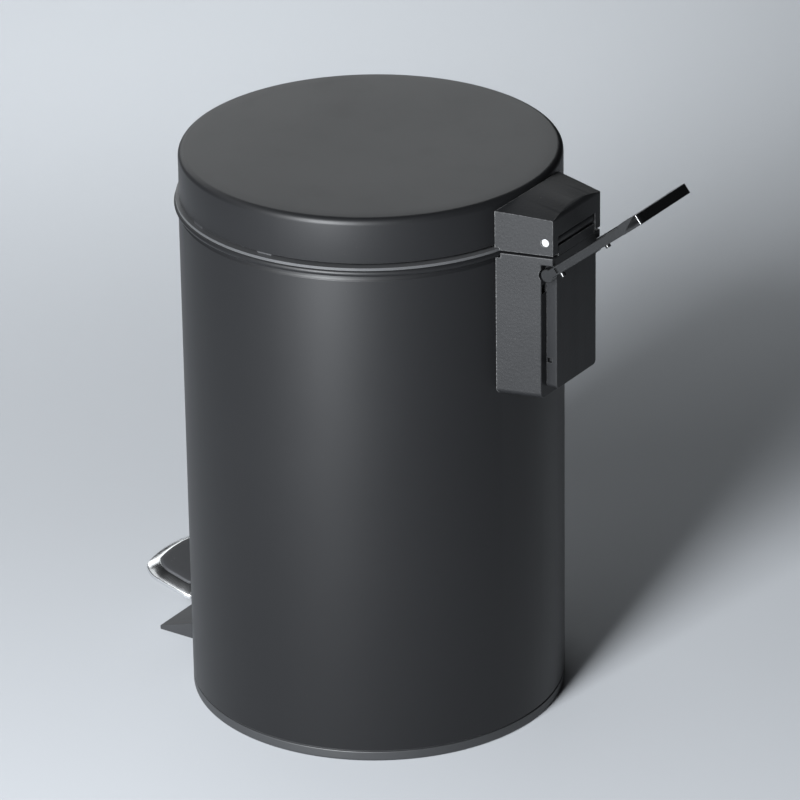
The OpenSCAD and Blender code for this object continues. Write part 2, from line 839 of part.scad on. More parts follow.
module cap_screw_places() {
  for (side = [-1, 1]) translate([side * 9, body_r + 7, 0]) children();
}

// Posts inside the cap that stand on the bracket
module cap_bosses() {
  post_z = tongue_z + tongue_t;
  translate([0, 0, post_z]) cap_screw_places() difference() {
    cylinder(r = 2.9, h = cap_top_z - cap_wall - post_z - 0.2);
    translate([0, 0, -1]) cylinder(r = tap_r, h = 4);
  }
}

module cap_screws() {
  color(steel) cap_screw_places() {
    translate([0, 0, tongue_z - tap_head_t]) cylinder(r = tap_head_r, h = tap_head_t);
    translate([0, 0, tongue_z - eps]) cylinder(r = tap_r - press, h = tongue_t + 2.4);
  }
}

module lid_buffers() {
  pad_r = lid_r - lid_wall - eps;
  color(rubber) for (turn = [-150, -90, -30]) rotate([0, 0, turn])
    translate([0, 0, rim_z1 + 0.05]) intersection() {
      difference() {
        cylinder(r = pad_r, h = 7);
        translate([0, 0, -1]) cylinder(r = pad_r - 1.8, h = 9);
      }
      translate([0, -4, -1]) cube([body_r, 8, 12]);
    }
}

base_ring();
outer_shell();
backing_plate();
housing_screws();
hinge_housing();
hinge_pin();
handle_pin();
carry_handle();
bucket();
bucket_bail();
bail_grip();
rod_guides();
guide_rivets();
push_rod();
pedal_axle();
axle_clips();
pedal_lever();
pedal_frame();
pedal_pad();
pedal_rivets();
lid_shell();
lid_bracket();
bracket_screws();
hinge_cap();
cap_screws();
lid_buffers();
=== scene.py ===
"""Small round pedal bin with a rear hinge housing and a folding carry handle.

Everything is in metres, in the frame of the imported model: the can stands on
Z = 0 round the Z axis, the pedal points to -Y and the hinge to +Y.
"""
import logging
import math
from collections.abc import Callable
from dataclasses import dataclass
from enum import Enum

import bmesh
import bpy
from mathutils import Matrix, Vector


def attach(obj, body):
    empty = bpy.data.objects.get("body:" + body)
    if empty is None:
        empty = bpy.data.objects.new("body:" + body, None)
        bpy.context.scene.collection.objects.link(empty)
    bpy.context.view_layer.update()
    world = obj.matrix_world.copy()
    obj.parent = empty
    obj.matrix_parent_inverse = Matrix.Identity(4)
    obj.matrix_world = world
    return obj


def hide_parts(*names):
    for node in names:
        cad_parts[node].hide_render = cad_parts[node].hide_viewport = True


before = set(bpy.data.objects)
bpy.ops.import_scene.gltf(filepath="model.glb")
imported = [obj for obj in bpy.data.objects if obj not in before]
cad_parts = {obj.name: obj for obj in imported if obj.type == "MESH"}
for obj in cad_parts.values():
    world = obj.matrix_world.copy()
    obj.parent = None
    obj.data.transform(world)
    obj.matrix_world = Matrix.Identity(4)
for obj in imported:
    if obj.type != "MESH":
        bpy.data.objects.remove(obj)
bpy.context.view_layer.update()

MM = 0.001
ROUND_SIDES = 240                   # sides of the round cutters that follow can and lid
CUT_HEIGHT = 0.3                    # height of a cutter that passes right through
LOG = logging.getLogger("pedal_bin")

Point = tuple[float, float]
Colour = tuple[float, float, float]


class Body(Enum):
    """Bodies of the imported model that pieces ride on."""

    CAN = "can"
    LID = "lid"
    ROD = "rod"
    PEDAL = "pedal"
    HANDLE = "handle"
    BAIL = "bail"


class Slot(Enum):
    """Material slots of the record."""

    COATED_STEEL = "coated_steel"
    HOUSING_PLASTIC = "housing_plastic"
    BASE_PLASTIC = "base_plastic"
    BUCKET_PLASTIC = "bucket_plastic"
    PLAIN_STEEL = "plain_steel"
    BRIGHT_PIN = "bright_pin"
    PEDAL_CHROME = "pedal_chrome"
    PAD_RUBBER = "pad_rubber"


class Join(Enum):
    """Ways in which solids are put together."""

    UNION = "UNION"
    DIFFERENCE = "DIFFERENCE"
    INTERSECT = "INTERSECT"


# ---------- shader groups and finishes ----------


class Sheet:
    """A node tree with short calls for adding and joining nodes."""

    def __init__(self, tree: bpy.types.NodeTree) -> None:
        """Wraps a tree.

        Args:
            tree: The node tree to work in.
        """
        self.tree = tree

    def add(self, kind: str, **settings: object) -> bpy.types.Node:
        """Adds a node.

        Args:
            kind: Blender's name of the node type.
            **settings: Properties of the node, or input values by socket name.

        Returns:
            The new node.
        """
        node = self.tree.nodes.new(kind)
        for name, value in settings.items():
            if hasattr(node, name):
                setattr(node, name, value)
            else:
                node.inputs[name.replace("_", " ")].default_value = value
        return node

    def join(self, source: bpy.types.NodeSocket, target: bpy.types.NodeSocket) -> None:
        """Links an output socket to an input socket."""
        self.tree.links.new(source, target)

    def maths(self, operation: str, first: object, second: object = 0.0,
              clamp: bool = False) -> bpy.types.NodeSocket:
        """Adds a Math node.

        Args:
            operation: Name of the operation.
            first: A socket or a number.
            second: A socket or a number.
            clamp: Whether the result is held between 0 and 1.

        Returns:
            The output socket.
        """
        node = self.tree.nodes.new("ShaderNodeMath")
        node.operation = operation
        node.use_clamp = clamp
        for place, value in enumerate((first, second)):
            if isinstance(value, bpy.types.NodeSocket):
                self.join(value, node.inputs[place])
            else:
                node.inputs[place].default_value = value
        return node.outputs[0]

    def spread(self, source: bpy.types.NodeSocket, low: float, high: float,
               to_low: float, to_high: float) -> bpy.types.NodeSocket:
        """Maps one range of values onto another, held at both ends.

        Args:
            source: The value to map.
            low: Start of the first range.
            high: End of the first range.
            to_low: Start of the second range.
            to_high: End of the second range.

        Returns:
            The output socket.
        """
        node = self.add("ShaderNodeMapRange")
        node.clamp = True
        for place, value in enumerate((low, high, to_low, to_high), start=1):
            node.inputs[place].default_value = value
        self.join(source, node.inputs[0])
        return node.outputs[0]

    def noise(self, scale: float, detail: float, place: bpy.types.NodeSocket,
              roughness: float = 0.5) -> bpy.types.NodeSocket:
        """Adds a noise texture.

        Args:
            scale: Cycles in a metre.
            detail: Number of finer layers.
            place: Socket with the coordinates.
            roughness: Strength of the finer layers.

        Returns:
            The factor socket.
        """
        node = self.add("ShaderNodeTexNoise", Scale=scale, Detail=detail, Roughness=roughness)
        self.join(place, node.inputs["Vector"])
        return node.outputs[0]


class GroupShelf:
    """Shader groups that several finishes share, each built once."""

    def __init__(self) -> None:
        """Builds the groups."""
        self.edges = self._edges()
        self.grain = self._grain()
        self.clouds = self._clouds()
        self.dust = self._dust()
        self.scuffs = self._scuffs()

    @staticmethod
    def _new(name: str, inputs: dict[str, float],
             outputs: dict[str, str]) -> tuple[bpy.types.NodeTree, Sheet, bpy.types.Node,
                                              bpy.types.Node]:
        """Starts a group.

        Args:
            name: Name of the group.
            inputs: Value inputs and their defaults.
            outputs: Output names and their socket types.

        Returns:
            The group, a sheet on it, its input node and its output node.
        """
        group = bpy.data.node_groups.new(name, "ShaderNodeTree")
        for label, value in inputs.items():
            socket = group.interface.new_socket(label, in_out="INPUT",
                                                socket_type="NodeSocketFloat")
            socket.default_value = value
        for label, kind in outputs.items():
            group.interface.new_socket(label, in_out="OUTPUT", socket_type=kind)
        sheet = Sheet(group)
        return group, sheet, sheet.add("NodeGroupInput"), sheet.add("NodeGroupOutput")

    def _edges(self) -> bpy.types.NodeTree:
        """Mask of rubbed outer edges.

        Returns:
            The group.
        """
        group, sheet, given, out = self._new(
            "edge_rub", {"Radius": 0.0006, "Break": 900.0}, {"Mask": "NodeSocketFloat"})
        soft = sheet.add("ShaderNodeBevel", samples=4)
        sheet.join(given.outputs["Radius"], soft.inputs["Radius"])
        shape = sheet.add("ShaderNodeNewGeometry")
        likeness = sheet.add("ShaderNodeVectorMath", operation="DOT_PRODUCT")
        sheet.join(soft.outputs[0], likeness.inputs[0])
        sheet.join(shape.outputs["Normal"], likeness.inputs[1])
        near = sheet.spread(likeness.outputs["Value"], 0.985, 0.8, 0.0, 1.0)
        outer = sheet.spread(shape.outputs["Pointiness"], 0.47, 0.53, 0.3, 1.0)
        place = sheet.add("ShaderNodeTexCoord").outputs["Object"]
        texture = sheet.add("ShaderNodeTexNoise", Detail=3.0)
        sheet.join(place, texture.inputs["Vector"])
        sheet.join(given.outputs["Break"], texture.inputs["Scale"])
        broken = sheet.spread(texture.outputs[0], 0.38, 0.62, 0.15, 1.0)
        mask = sheet.maths("MULTIPLY", sheet.maths("MULTIPLY", near, outer), broken)
        sheet.join(mask, out.inputs["Mask"])
        return group

    def _grain(self) -> bpy.types.NodeTree:
        """Fine moulded or sprayed texture in two sizes.

        Returns:
            The group.
        """
        group, sheet, given, out = self._new(
            "fine_grain", {"Scale": 2500.0, "Coarse": 0.35}, {"Height": "NodeSocketFloat"})
        place = sheet.add("ShaderNodeTexCoord").outputs["Object"]
        fine = sheet.add("ShaderNodeTexNoise", Detail=2.0, Roughness=0.6)
        wide = sheet.add("ShaderNodeTexVoronoi")
        for node in (fine, wide):
            sheet.join(place, node.inputs["Vector"])
        sheet.join(given.outputs["Scale"], fine.inputs["Scale"])
        sheet.join(sheet.maths("MULTIPLY", given.outputs["Scale"], 0.45), wide.inputs["Scale"])
        low = sheet.maths("MULTIPLY", wide.outputs["Distance"], given.outputs["Coarse"])
        sheet.join(sheet.maths("ADD", fine.outputs[0], low), out.inputs["Height"])
        return group

    def _clouds(self) -> bpy.types.NodeTree:
        """Slow change over the surface, from -1 to 1.

        Returns:
            The group.
        """
        group, sheet, given, out = self._new(
            "slow_clouds", {"Scale": 18.0}, {"Shift": "NodeSocketFloat"})
        place = sheet.add("ShaderNodeTexCoord").outputs["Object"]
        texture = sheet.add("ShaderNodeTexNoise", Detail=4.0, Roughness=0.55)
        sheet.join(place, texture.inputs["Vector"])
        sheet.join(given.outputs["Scale"], texture.inputs["Scale"])
        sheet.join(sheet.spread(texture.outputs[0], 0.3, 0.7, -1.0, 1.0), out.inputs["Shift"])
        return group

    def _dust(self) -> bpy.types.NodeTree:
        """Specks that lie on faces which look upwards.

        Returns:
            The group.
        """
        group, sheet, given, out = self._new(
            "settled_dust", {"Scale": 420.0, "Amount": 0.1}, {"Mask": "NodeSocketFloat"})
        shape = sheet.add("ShaderNodeNewGeometry")
        parts = sheet.add("ShaderNodeSeparateXYZ")
        sheet.join(shape.outputs["Normal"], parts.inputs[0])
        upward = sheet.spread(parts.outputs["Z"], -0.1, 0.9, 0.25, 1.0)
        place = sheet.add("ShaderNodeTexCoord").outputs["Object"]
        specks = sheet.add("ShaderNodeTexVoronoi")
        sheet.join(place, specks.inputs["Vector"])
        sheet.join(given.outputs["Scale"], specks.inputs["Scale"])
        dots = sheet.spread(specks.outputs["Distance"], 0.05, 0.1, 1.0, 0.0)
        chance = sheet.add("ShaderNodeSeparateXYZ")
        sheet.join(specks.outputs["Color"], chance.inputs[0])
        kept = sheet.maths("GREATER_THAN", chance.outputs["X"], 0.9)
        mask = sheet.maths("MULTIPLY", sheet.maths("MULTIPLY", dots, kept), upward)
        sheet.join(sheet.maths("MULTIPLY", mask, given.outputs["Amount"]), out.inputs["Mask"])
        return group

    def _scuffs(self) -> bpy.types.NodeTree:
        """Faint rubbed streaks that run round and along the piece.

        Returns:
            The group.
        """
        group, sheet, given, out = self._new(
            "faint_scuffs", {"Scale": 60.0, "Stretch": 0.08}, {"Mask": "NodeSocketFloat"})
        place = sheet.add("ShaderNodeTexCoord").outputs["Object"]
        parts = sheet.add("ShaderNodeSeparateXYZ")
        sheet.join(place, parts.inputs[0])
        long_z = sheet.maths("MULTIPLY", parts.outputs["Z"], given.outputs["Stretch"])
        stretched = sheet.add("ShaderNodeCombineXYZ")
        sheet.join(parts.outputs["X"], stretched.inputs["X"])
        sheet.join(parts.outputs["Y"], stretched.inputs["Y"])
        sheet.join(long_z, stretched.inputs["Z"])
        texture = sheet.add("ShaderNodeTexNoise", Detail=5.0, Roughness=0.65)
        sheet.join(stretched.outputs[0], texture.inputs["Vector"])
        sheet.join(given.outputs["Scale"], texture.inputs["Scale"])
        sheet.join(sheet.spread(texture.outputs[0], 0.52, 0.72, 0.0, 1.0), out.inputs["Mask"])
        return group


@dataclass(frozen=True)
class Finish:
    """One procedural material: colour, gloss, texture and wear."""

    name: str
    colour: Colour
    roughness: float
    metallic: float = 0.0
    specular: float = 0.5
    tone_shift: float = 0.12        # share by which the colour drifts
    rough_shift: float = 0.05
    cloud_scale: float = 18.0
    grain_scale: float = 2500.0
    grain_coarse: float = 0.35
    grain_height: float = 0.00002
    rub_colour: Colour = (0.2, 0.2, 0.2)
    rub_radius: float = 0.0005
    rub_amount: float = 0.3
    dust_amount: float = 0.1
    dust_colour: Colour = (0.35, 0.34, 0.33)
    scuff_rough: float = 0.05
    scuff_stretch: float = 0.08
    coat: float = 0.0
    coat_roughness: float = 0.2

    def build(self, shelf: GroupShelf) -> bpy.types.Material:
        """Makes the material.

        Args:
            shelf: The shared shader groups.

        Returns:
            The new material.
        """
        material = bpy.data.materials.new(self.name)
        material.use_nodes = True
        material.diffuse_color = (*self.colour, 1.0)
        sheet = Sheet(material.node_tree)
        shader = material.node_tree.nodes["Principled BSDF"]
        shader.inputs["Metallic"].default_value = self.metallic
        shader.inputs["Specular IOR Level"].default_value = self.specular
        shader.inputs["Coat Weight"].default_value = self.coat
        shader.inputs["Coat Roughness"].default_value = self.coat_roughness
        clouds = self._group(sheet, shelf.clouds, Scale=self.cloud_scale).outputs["Shift"]
        rub = self._group(sheet, shelf.edges, Radius=self.rub_radius).outputs["Mask"]
        dust = self._group(sheet, shelf.dust, Amount=self.dust_amount).outputs["Mask"]
        scuff = self._group(sheet, shelf.scuffs, Stretch=self.scuff_stretch).outputs["Mask"]
        grain = self._group(sheet, shelf.grain, Scale=self.grain_scale,
                            Coarse=self.grain_coarse).outputs["Height"]
        tone = sheet.maths("ADD", sheet.maths("MULTIPLY", clouds, self.tone_shift), 1.0)
        base = sheet.add("ShaderNodeVectorMath", operation="SCALE")
        base.inputs[0].default_value = self.colour
        sheet.join(tone, base.inputs["Scale"])
        rubbed = self._blend(sheet, base.outputs[0], self.rub_colour,
                             sheet.maths("MULTIPLY", rub, self.rub_amount))
        dusty = self._blend(sheet, rubbed, self.dust_colour, dust)
        sheet.join(dusty, shader.inputs["Base Color"])
        rough = sheet.maths("ADD", sheet.maths("MULTIPLY", clouds, self.rough_shift),
                            self.roughness)
        worn = sheet.maths("ADD", rough, sheet.maths("MULTIPLY", scuff, self.scuff_rough))
        sheet.join(sheet.maths("ADD", worn, sheet.maths("MULTIPLY", dust, 0.4), clamp=True),
                   shader.inputs["Roughness"])
        bump = sheet.add("ShaderNodeBump", Distance=self.grain_height)
        sheet.join(grain, bump.inputs["Height"])
        sheet.join(bump.outputs[0], shader.inputs["Normal"])
        return material

    @staticmethod
    def _group(sheet: Sheet, tree: bpy.types.NodeTree, **values: float) -> bpy.types.Node:
        """Places a shared group with its own values.

        Args:
            sheet: Where the group is placed.
            tree: The group.
            **values: Input values by name.

        Returns:
            The group node.
        """
        node = sheet.add("ShaderNodeGroup", node_tree=tree)
        for label, value in values.items():
            node.inputs[label].default_value = value
        return node

    @staticmethod
    def _blend(sheet: Sheet, under: bpy.types.NodeSocket, over: Colour,
               factor: bpy.types.NodeSocket) -> bpy.types.NodeSocket:
        """Lays one colour over another.

        Args:
            sheet: Where the node is placed.
            under: Socket of the lower colour.
            over: The upper colour.
            factor: Socket of the mask.

        Returns:
            The mixed colour socket.
        """
        node = sheet.add("ShaderNodeMix", data_type="RGBA")
        node.inputs[7].default_value = (*over, 1.0)
        sheet.join(under, node.inputs[6])
        sheet.join(factor, node.inputs[0])
        return node.outputs[2]


FINISHES: dict[Slot, Finish] = {
    Slot.COATED_STEEL: Finish(
        "satin_powder_coat", (0.0055, 0.0057, 0.0063), 0.42, specular=0.26, tone_shift=0.05,
        rough_shift=0.02,
        cloud_scale=9.0, grain_scale=2200.0, grain_height=0.000004, rub_amount=0.12,
        rub_radius=0.0008, dust_amount=0.16, scuff_rough=0.02),
    Slot.HOUSING_PLASTIC: Finish(
        "textured_black_plastic", (0.007, 0.0073, 0.008), 0.44, specular=0.26, tone_shift=0.10,
        grain_scale=1500.0, grain_coarse=0.8, grain_height=0.00003, rub_amount=0.4,
        rub_colour=(0.30, 0.30, 0.30), rub_radius=0.0005, dust_amount=0.22),
    Slot.BASE_PLASTIC: Finish(
        "plain_black_plastic", (0.017, 0.0177, 0.019), 0.45, tone_shift=0.10,
        grain_scale=1800.0, grain_height=0.00003, rub_amount=0.25, dust_amount=0.22),
    Slot.BUCKET_PLASTIC: Finish(
        "grey_bucket_plastic", (0.045, 0.046, 0.048), 0.42, tone_shift=0.08,
        grain_scale=1600.0, grain_height=0.00003, rub_amount=0.2, scuff_rough=0.14,
        specular=0.45),
    Slot.PLAIN_STEEL: Finish(
        "zinc_plated_steel", (0.56, 0.57, 0.58), 0.32, metallic=1.0, tone_shift=0.12,
        rough_shift=0.12, cloud_scale=140.0, grain_scale=1200.0, grain_height=0.00001,
        rub_colour=(0.75, 0.75, 0.75), rub_amount=0.4),
    Slot.BRIGHT_PIN: Finish(
        "bright_turned_pin", (0.90, 0.90, 0.90), 0.25, metallic=0.85, tone_shift=0.04,
        grain_height=0.000003, rub_colour=(0.95, 0.95, 0.95), dust_amount=0.0),
    Slot.PEDAL_CHROME: Finish(
        "polished_chrome", (0.82, 0.83, 0.84), 0.20, metallic=1.0, tone_shift=0.04,
        rough_shift=0.05, cloud_scale=60.0, grain_scale=900.0, grain_height=0.000002,
        rub_colour=(0.88, 0.88, 0.88), rub_amount=0.5, scuff_rough=0.18,
        dust_colour=(0.4, 0.4, 0.4)),
    Slot.PAD_RUBBER: Finish(
        "soft_black_rubber", (0.019, 0.0196, 0.0215), 0.62, tone_shift=0.12,
        grain_scale=1400.0, grain_coarse=0.6, grain_height=0.00006, dust_amount=0.3,
        rub_amount=0.15, scuff_rough=0.1),
}

HANDLE_FINISH = Finish(
    "glossy_black_plastic", (0.004, 0.0042, 0.0045), 0.24, tone_shift=0.08,
    grain_scale=1500.0, grain_height=0.000008, rub_amount=0.3, rub_colour=(0.12, 0.12, 0.12),
    rub_radius=0.0005, dust_amount=0.15)

CAD_SLOTS: dict[Slot, tuple[str, ...]] = {
    Slot.BASE_PLASTIC: ("rod_guides",),
    Slot.BUCKET_PLASTIC: ("bucket",),
    Slot.HOUSING_PLASTIC: ("lid_bracket",),
    Slot.PLAIN_STEEL: ("backing_plate", "housing_screws", "handle_pin", "bucket_bail",
                       "guide_rivets", "push_rod", "pedal_axle", "axle_clips", "pedal_lever",
                       "pedal_rivets", "bracket_screws", "cap_screws"),
    Slot.BRIGHT_PIN: ("hinge_pin",),
    Slot.PAD_RUBBER: ("bail_grip", "lid_buffers"),
}


class Paintshop:
    """Keeps one built material for each slot."""

    def __init__(self) -> None:
        """Builds the shared groups and all the materials."""
        self.shelf = GroupShelf()
        self.made = {slot: finish.build(self.shelf) for slot, finish in FINISHES.items()}
        self.handle = HANDLE_FINISH.build(self.shelf)

    def dress(self, piece: bpy.types.Object, slot: Slot) -> None:
        """Gives a piece the material of a slot.

        Args:
            piece: The object to paint.
            slot: The record's slot.
        """
        piece.data.materials.clear()
        piece.data.materials.append(self.made[slot])

    def dress_cad_nodes(self) -> None:
        """Paints the CAD nodes that stay visible."""
        for slot, names in CAD_SLOTS.items():
            for name in names:
                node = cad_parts[name]
                self.dress(node, slot)
                LOG.info("dressed CAD node %s as %s", name, slot.value)


# ---------- mesh helpers ----------


def arc(centre: Point, radius: float, start: float, stop: float, steps: int) -> list[Point]:
    """Points along an arc.

    Args:
        centre: Centre of the arc.
        radius: Radius of the arc.
        start: First angle in degrees.
        stop: Last angle in degrees.
        steps: Number of pieces that the arc is divided in.

    Returns:
        The points from start to stop.
    """
    turns = (math.radians(start + (stop - start) * i / steps) for i in range(steps + 1))
    return [(centre[0] + radius * math.cos(t), centre[1] + radius * math.sin(t)) for t in turns]


def spun(profile: list[Point], steps: int, closed: bool) -> bmesh.types.BMesh:
    """Turns a half section round the Z axis.

    Args:
        profile: Points as radius and height.
        steps: Number of steps round the circle.
        closed: Whether the last point joins the first.

    Returns:
        The turned form.
    """
    bm = bmesh.new()
    verts = [bm.verts.new((radius, 0.0, height)) for radius, height in profile]
    edges = [bm.edges.new(pair) for pair in zip(verts, verts[1:])]
    if closed:
        edges.append(bm.edges.new((verts[-1], verts[0])))
    bmesh.ops.spin(bm, geom=verts + edges, cent=(0, 0, 0), axis=(0, 0, 1),
                   angle=math.tau, steps=steps, use_merge=True, use_duplicate=False)
    bmesh.ops.remove_doubles(bm, verts=bm.verts[:], dist=1e-6)
    bmesh.ops.recalc_face_normals(bm, faces=bm.faces[:])
    return bm


def slab(outline: list[Point], low: float, high: float, turn: Matrix) -> bmesh.types.BMesh:
    """Extrudes a flat outline into a solid.

    Args:
        outline: Corners in the local XY plane.
        low: Local Z of the first face.
        high: Local Z of the second face.
        turn: Brings the local axes into the model's frame.

    Returns:
        The closed solid.
    """
    bm = bmesh.new()
    face = bm.faces.new([bm.verts.new((x, y, low)) for x, y in outline])
    grown = bmesh.ops.extrude_face_region(bm, geom=[face])["geom"]
    moved = [item for item in grown if isinstance(item, bmesh.types.BMVert)]
    bmesh.ops.translate(bm, verts=moved, vec=(0, 0, high - low))
    bmesh.ops.transform(bm, matrix=turn, verts=bm.verts[:])
    bmesh.ops.recalc_face_normals(bm, faces=bm.faces[:])
    return bm


def stacked(rings: list[tuple[list[Point], float]]) -> bmesh.types.BMesh:
    """Bridges level outlines with the same number of corners into a closed solid.

    Args:
        rings: Each outline with its height, in the order in which they are joined.

    Returns:
        The closed solid.
    """
    bm = bmesh.new()
    loops = []
    for outline, height in rings:
        verts = [bm.verts.new((x, y, height)) for x, y in outline]
        loops.append([bm.edges.new(pair) for pair in zip(verts, verts[1:] + verts[:1])])
    for lower, upper in zip(loops, loops[1:]):
        bmesh.ops.bridge_loops(bm, edges=lower + upper)
    for loop in (loops[0], loops[-1]):
        bmesh.ops.contextual_create(bm, geom=loop)
    bmesh.ops.recalc_face_normals(bm, faces=bm.faces[:])
    return bm


def soften(bm: bmesh.types.BMesh, width: float, segments: int = 2, angle: float = 35.0,
           keep: Callable[[Vector], bool] | None = None) -> None:
    """Rounds the edges that are sharper than an angle.

    Args:
        bm: The solid to work on.
        width: Width of the rounding.
        segments: Number of faces across the rounding.
        angle: Least angle in degrees between the two faces.
        keep: Test of an edge's middle that says whether the edge is rounded.
    """
    limit = math.radians(angle)
    sharp = [e for e in bm.edges if e.is_manifold and e.calc_face_angle(0.0) > limit
             and (keep is None or keep((e.verts[0].co + e.verts[1].co) / 2))]
    bmesh.ops.bevel(bm, geom=sharp, offset=width, offset_type="OFFSET", affect="EDGES",
                    segments=segments, profile=0.5, material=-1, clamp_overlap=True)


def window(bm: bmesh.types.BMesh, half: float, low: float, high: float, side: int) -> None:
    """Cuts a window in a thin wall, on the front or the rear.

    Args:
        bm: The wall, a single sheet.
        half: Half width of the window along X.
        low: Lower edge of the window.
        high: Upper edge of the window.
        side: -1 for the front and 1 for the rear.
    """
    for place, across in (((half, 0, 0), (1, 0, 0)), ((-half, 0, 0), (1, 0, 0)),
                          ((0, 0, low), (0, 0, 1)), ((0, 0, high), (0, 0, 1))):
        near = [f for f in bm.faces if f.calc_center_median().y * side > 0
                and abs(f.calc_center_median().x) < 3 * half]
        geom = list({item for f in near for item in (*f.verts, *f.edges, f)})
        bmesh.ops.bisect_plane(bm, geom=geom, plane_co=place, plane_no=across, dist=1e-7)
    gone = []
    for face in bm.faces:
        middle = face.calc_center_median()
        if abs(middle.x) < half and low < middle.z < high and middle.y * side > 0:
            gone.append(face)
    bmesh.ops.delete(bm, geom=gone, context="FACES")


def thicken(bm: bmesh.types.BMesh, wall: float) -> None:
    """Gives a sheet its thickness inwards, away from its normals.

    Args:
        bm: The sheet.
        wall: The thickness.
    """
    bmesh.ops.solidify(bm, geom=bm.faces[:], thickness=wall)


def finished(name: str, bm: bmesh.types.BMesh, smooth: float = 32.0) -> bpy.types.Object:
    """Turns a bmesh into an object of the scene.

    Args:
        name: Name of the piece.
        bm: Its form, which is freed.
        smooth: Edges sharper than this many degrees stay sharp.

    Returns:
        The object at the origin.
    """
    mesh = bpy.data.meshes.new(name)
    bm.to_mesh(mesh)
    bm.free()
    mesh.shade_smooth()
    mesh.set_sharp_from_angle(angle=math.radians(smooth))
    piece = bpy.data.objects.new(name, mesh)
    bpy.context.scene.collection.objects.link(piece)
    return piece


def combined(base: bpy.types.Object, others: list[bpy.types.Object],
             way: Join) -> bpy.types.Object:
    """Joins solids to a piece or cuts them out of it, and takes them out of the scene.

    Args:
        base: The piece that is changed.
        others: The solids to join or to cut with.
        way: How they are put together.

    Returns:
        The changed piece.
    """
    for other in others:
        change = base.modifiers.new(way.name.lower(), "BOOLEAN")
        change.operation = way.value
        change.solver = "EXACT"
        change.object = other
    bpy.context.view_layer.update()
    graph = bpy.context.evaluated_depsgraph_get()
    made = bpy.data.meshes.new_from_object(base.evaluated_get(graph))
    old = base.data
    base.modifiers.clear()
    base.data = made
    made.name = old.name
    bpy.data.meshes.remove(old)
    for other in others:
        mesh = other.data
        bpy.data.objects.remove(other)
        bpy.data.meshes.remove(mesh)
    return base


def gathered(base: bpy.types.Object, others: list[bpy.types.Object]) -> bpy.types.Object:
    """Adds closed solids to a piece without cutting them, and takes them out of the scene.

    Args:
        base: The piece that is added to.
        others: The solids, which reach into the piece.

    Returns:
        The same piece.
    """
    bm = bmesh.new()
    bm.from_mesh(base.data)
    for other in others:
        mesh = other.data
        bm.from_mesh(mesh)
        bpy.data.objects.remove(other)
        bpy.data.meshes.remove(mesh)
    bm.to_mesh(base.data)
    bm.free()
    return base


def tidied(piece: bpy.types.Object, smooth: float = 32.0) -> bpy.types.Object:
    """Merges and flattens a piece after solids were joined or cut.

    Args:
        piece: The piece to clean.
        smooth: Edges sharper than this many degrees stay sharp.

    Returns:
        The same piece.
    """
    bm = bmesh.new()
    bm.from_mesh(piece.data)
    bmesh.ops.remove_doubles(bm, verts=bm.verts[:], dist=2e-6)
    bmesh.ops.dissolve_degenerate(bm, dist=2e-6, edges=bm.edges[:])
    bm.to_mesh(piece.data)
    bm.free()
    piece.data.shade_smooth()
    piece.data.set_sharp_from_angle(angle=math.radians(smooth))
    weighted = piece.modifiers.new("weighted", "WEIGHTED_NORMAL")
    weighted.keep_sharp = True
    return piece


ACROSS = Matrix(((0, 0, 1, 0), (1, 0, 0, 0), (0, 1, 0, 0), (0, 0, 0, 1)))
REARWARD = Matrix(((1, 0, 0, 0), (0, 0, -1, 0), (0, 1, 0, 0), (0, 0, 0, 1)))
UPRIGHT = Matrix.Identity(4)


def pin(radius: float, start: float, stop: float, y: float, z: float,
        segments: int = 48) -> bmesh.types.BMesh:
    """Makes a cylinder along X.

    Args:
        radius: Its radius.
        start: X of one end.
        stop: X of the other end.
        y: Y of its axis.
        z: Z of its axis.
        segments: Number of sides.

    Returns:
        The closed cylinder.
    """
    bm = bmesh.new()
    place = Matrix.Translation(((start + stop) / 2, y, z)) @ Matrix.Rotation(math.pi / 2, 4, "Y")
    bmesh.ops.create_cone(bm, cap_ends=True, segments=segments, radius1=radius,
                          radius2=radius, depth=abs(stop - start), matrix=place)
    return bm


def drum(radius: float, low: float, high: float, x: float = 0.0, y: float = 0.0,
         segments: int = 32) -> bmesh.types.BMesh:
    """Makes an upright cylinder.

    Args:
        radius: Its radius.
        low: Height of its lower end.
        high: Height of its upper end.
        x: X of its axis.
        y: Y of its axis.
        segments: Number of sides.

    Returns:
        The closed cylinder.
    """
    bm = bmesh.new()
    bmesh.ops.create_cone(bm, cap_ends=True, segments=segments, radius1=radius,
                          radius2=radius, depth=high - low,
                          matrix=Matrix.Translation((x, y, (low + high) / 2)))
    return bm


def block(low: tuple[float, float, float],
          high: tuple[float, float, float]) -> bmesh.types.BMesh:
    """Makes a box between two corners.

    Args:
        low: The lowest corner.
        high: The highest corner.

    Returns:
        The closed box.
    """
    bm = bmesh.new()
    middle = Vector(low).lerp(Vector(high), 0.5)
    size = Vector(high) - Vector(low)
    bmesh.ops.create_cube(bm, size=1.0,
                          matrix=Matrix.Translation(middle) @ Matrix.Diagonal((*size, 1.0)))
    return bm


def settle(piece: bpy.types.Object, body: Body, slot: Slot, shop: Paintshop,
           *nodes: str) -> bpy.types.Object:
    """Paints a new piece and tells the frame what it rides on and stands for.

    Args:
        piece: The new piece.
        body: The body it moves with.
        slot: The slot it takes its finish from.
        shop: The built materials.
        *nodes: CAD nodes that it stands for.

    Returns:
        The same piece.
    """
    shop.dress(piece, slot)
    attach(piece, body.value)
    if nodes:
        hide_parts(*nodes)
    low, high = (Vector(corner) for corner in (piece.bound_box[0], piece.bound_box[6]))
    LOG.info("%s on %s: %d faces, %.1f x %.1f x %.1f mm", piece.name, body.value,
             len(piece.data.polygons), *((high - low) / MM))
    return piece


# ---------- sub-assemblies ----------


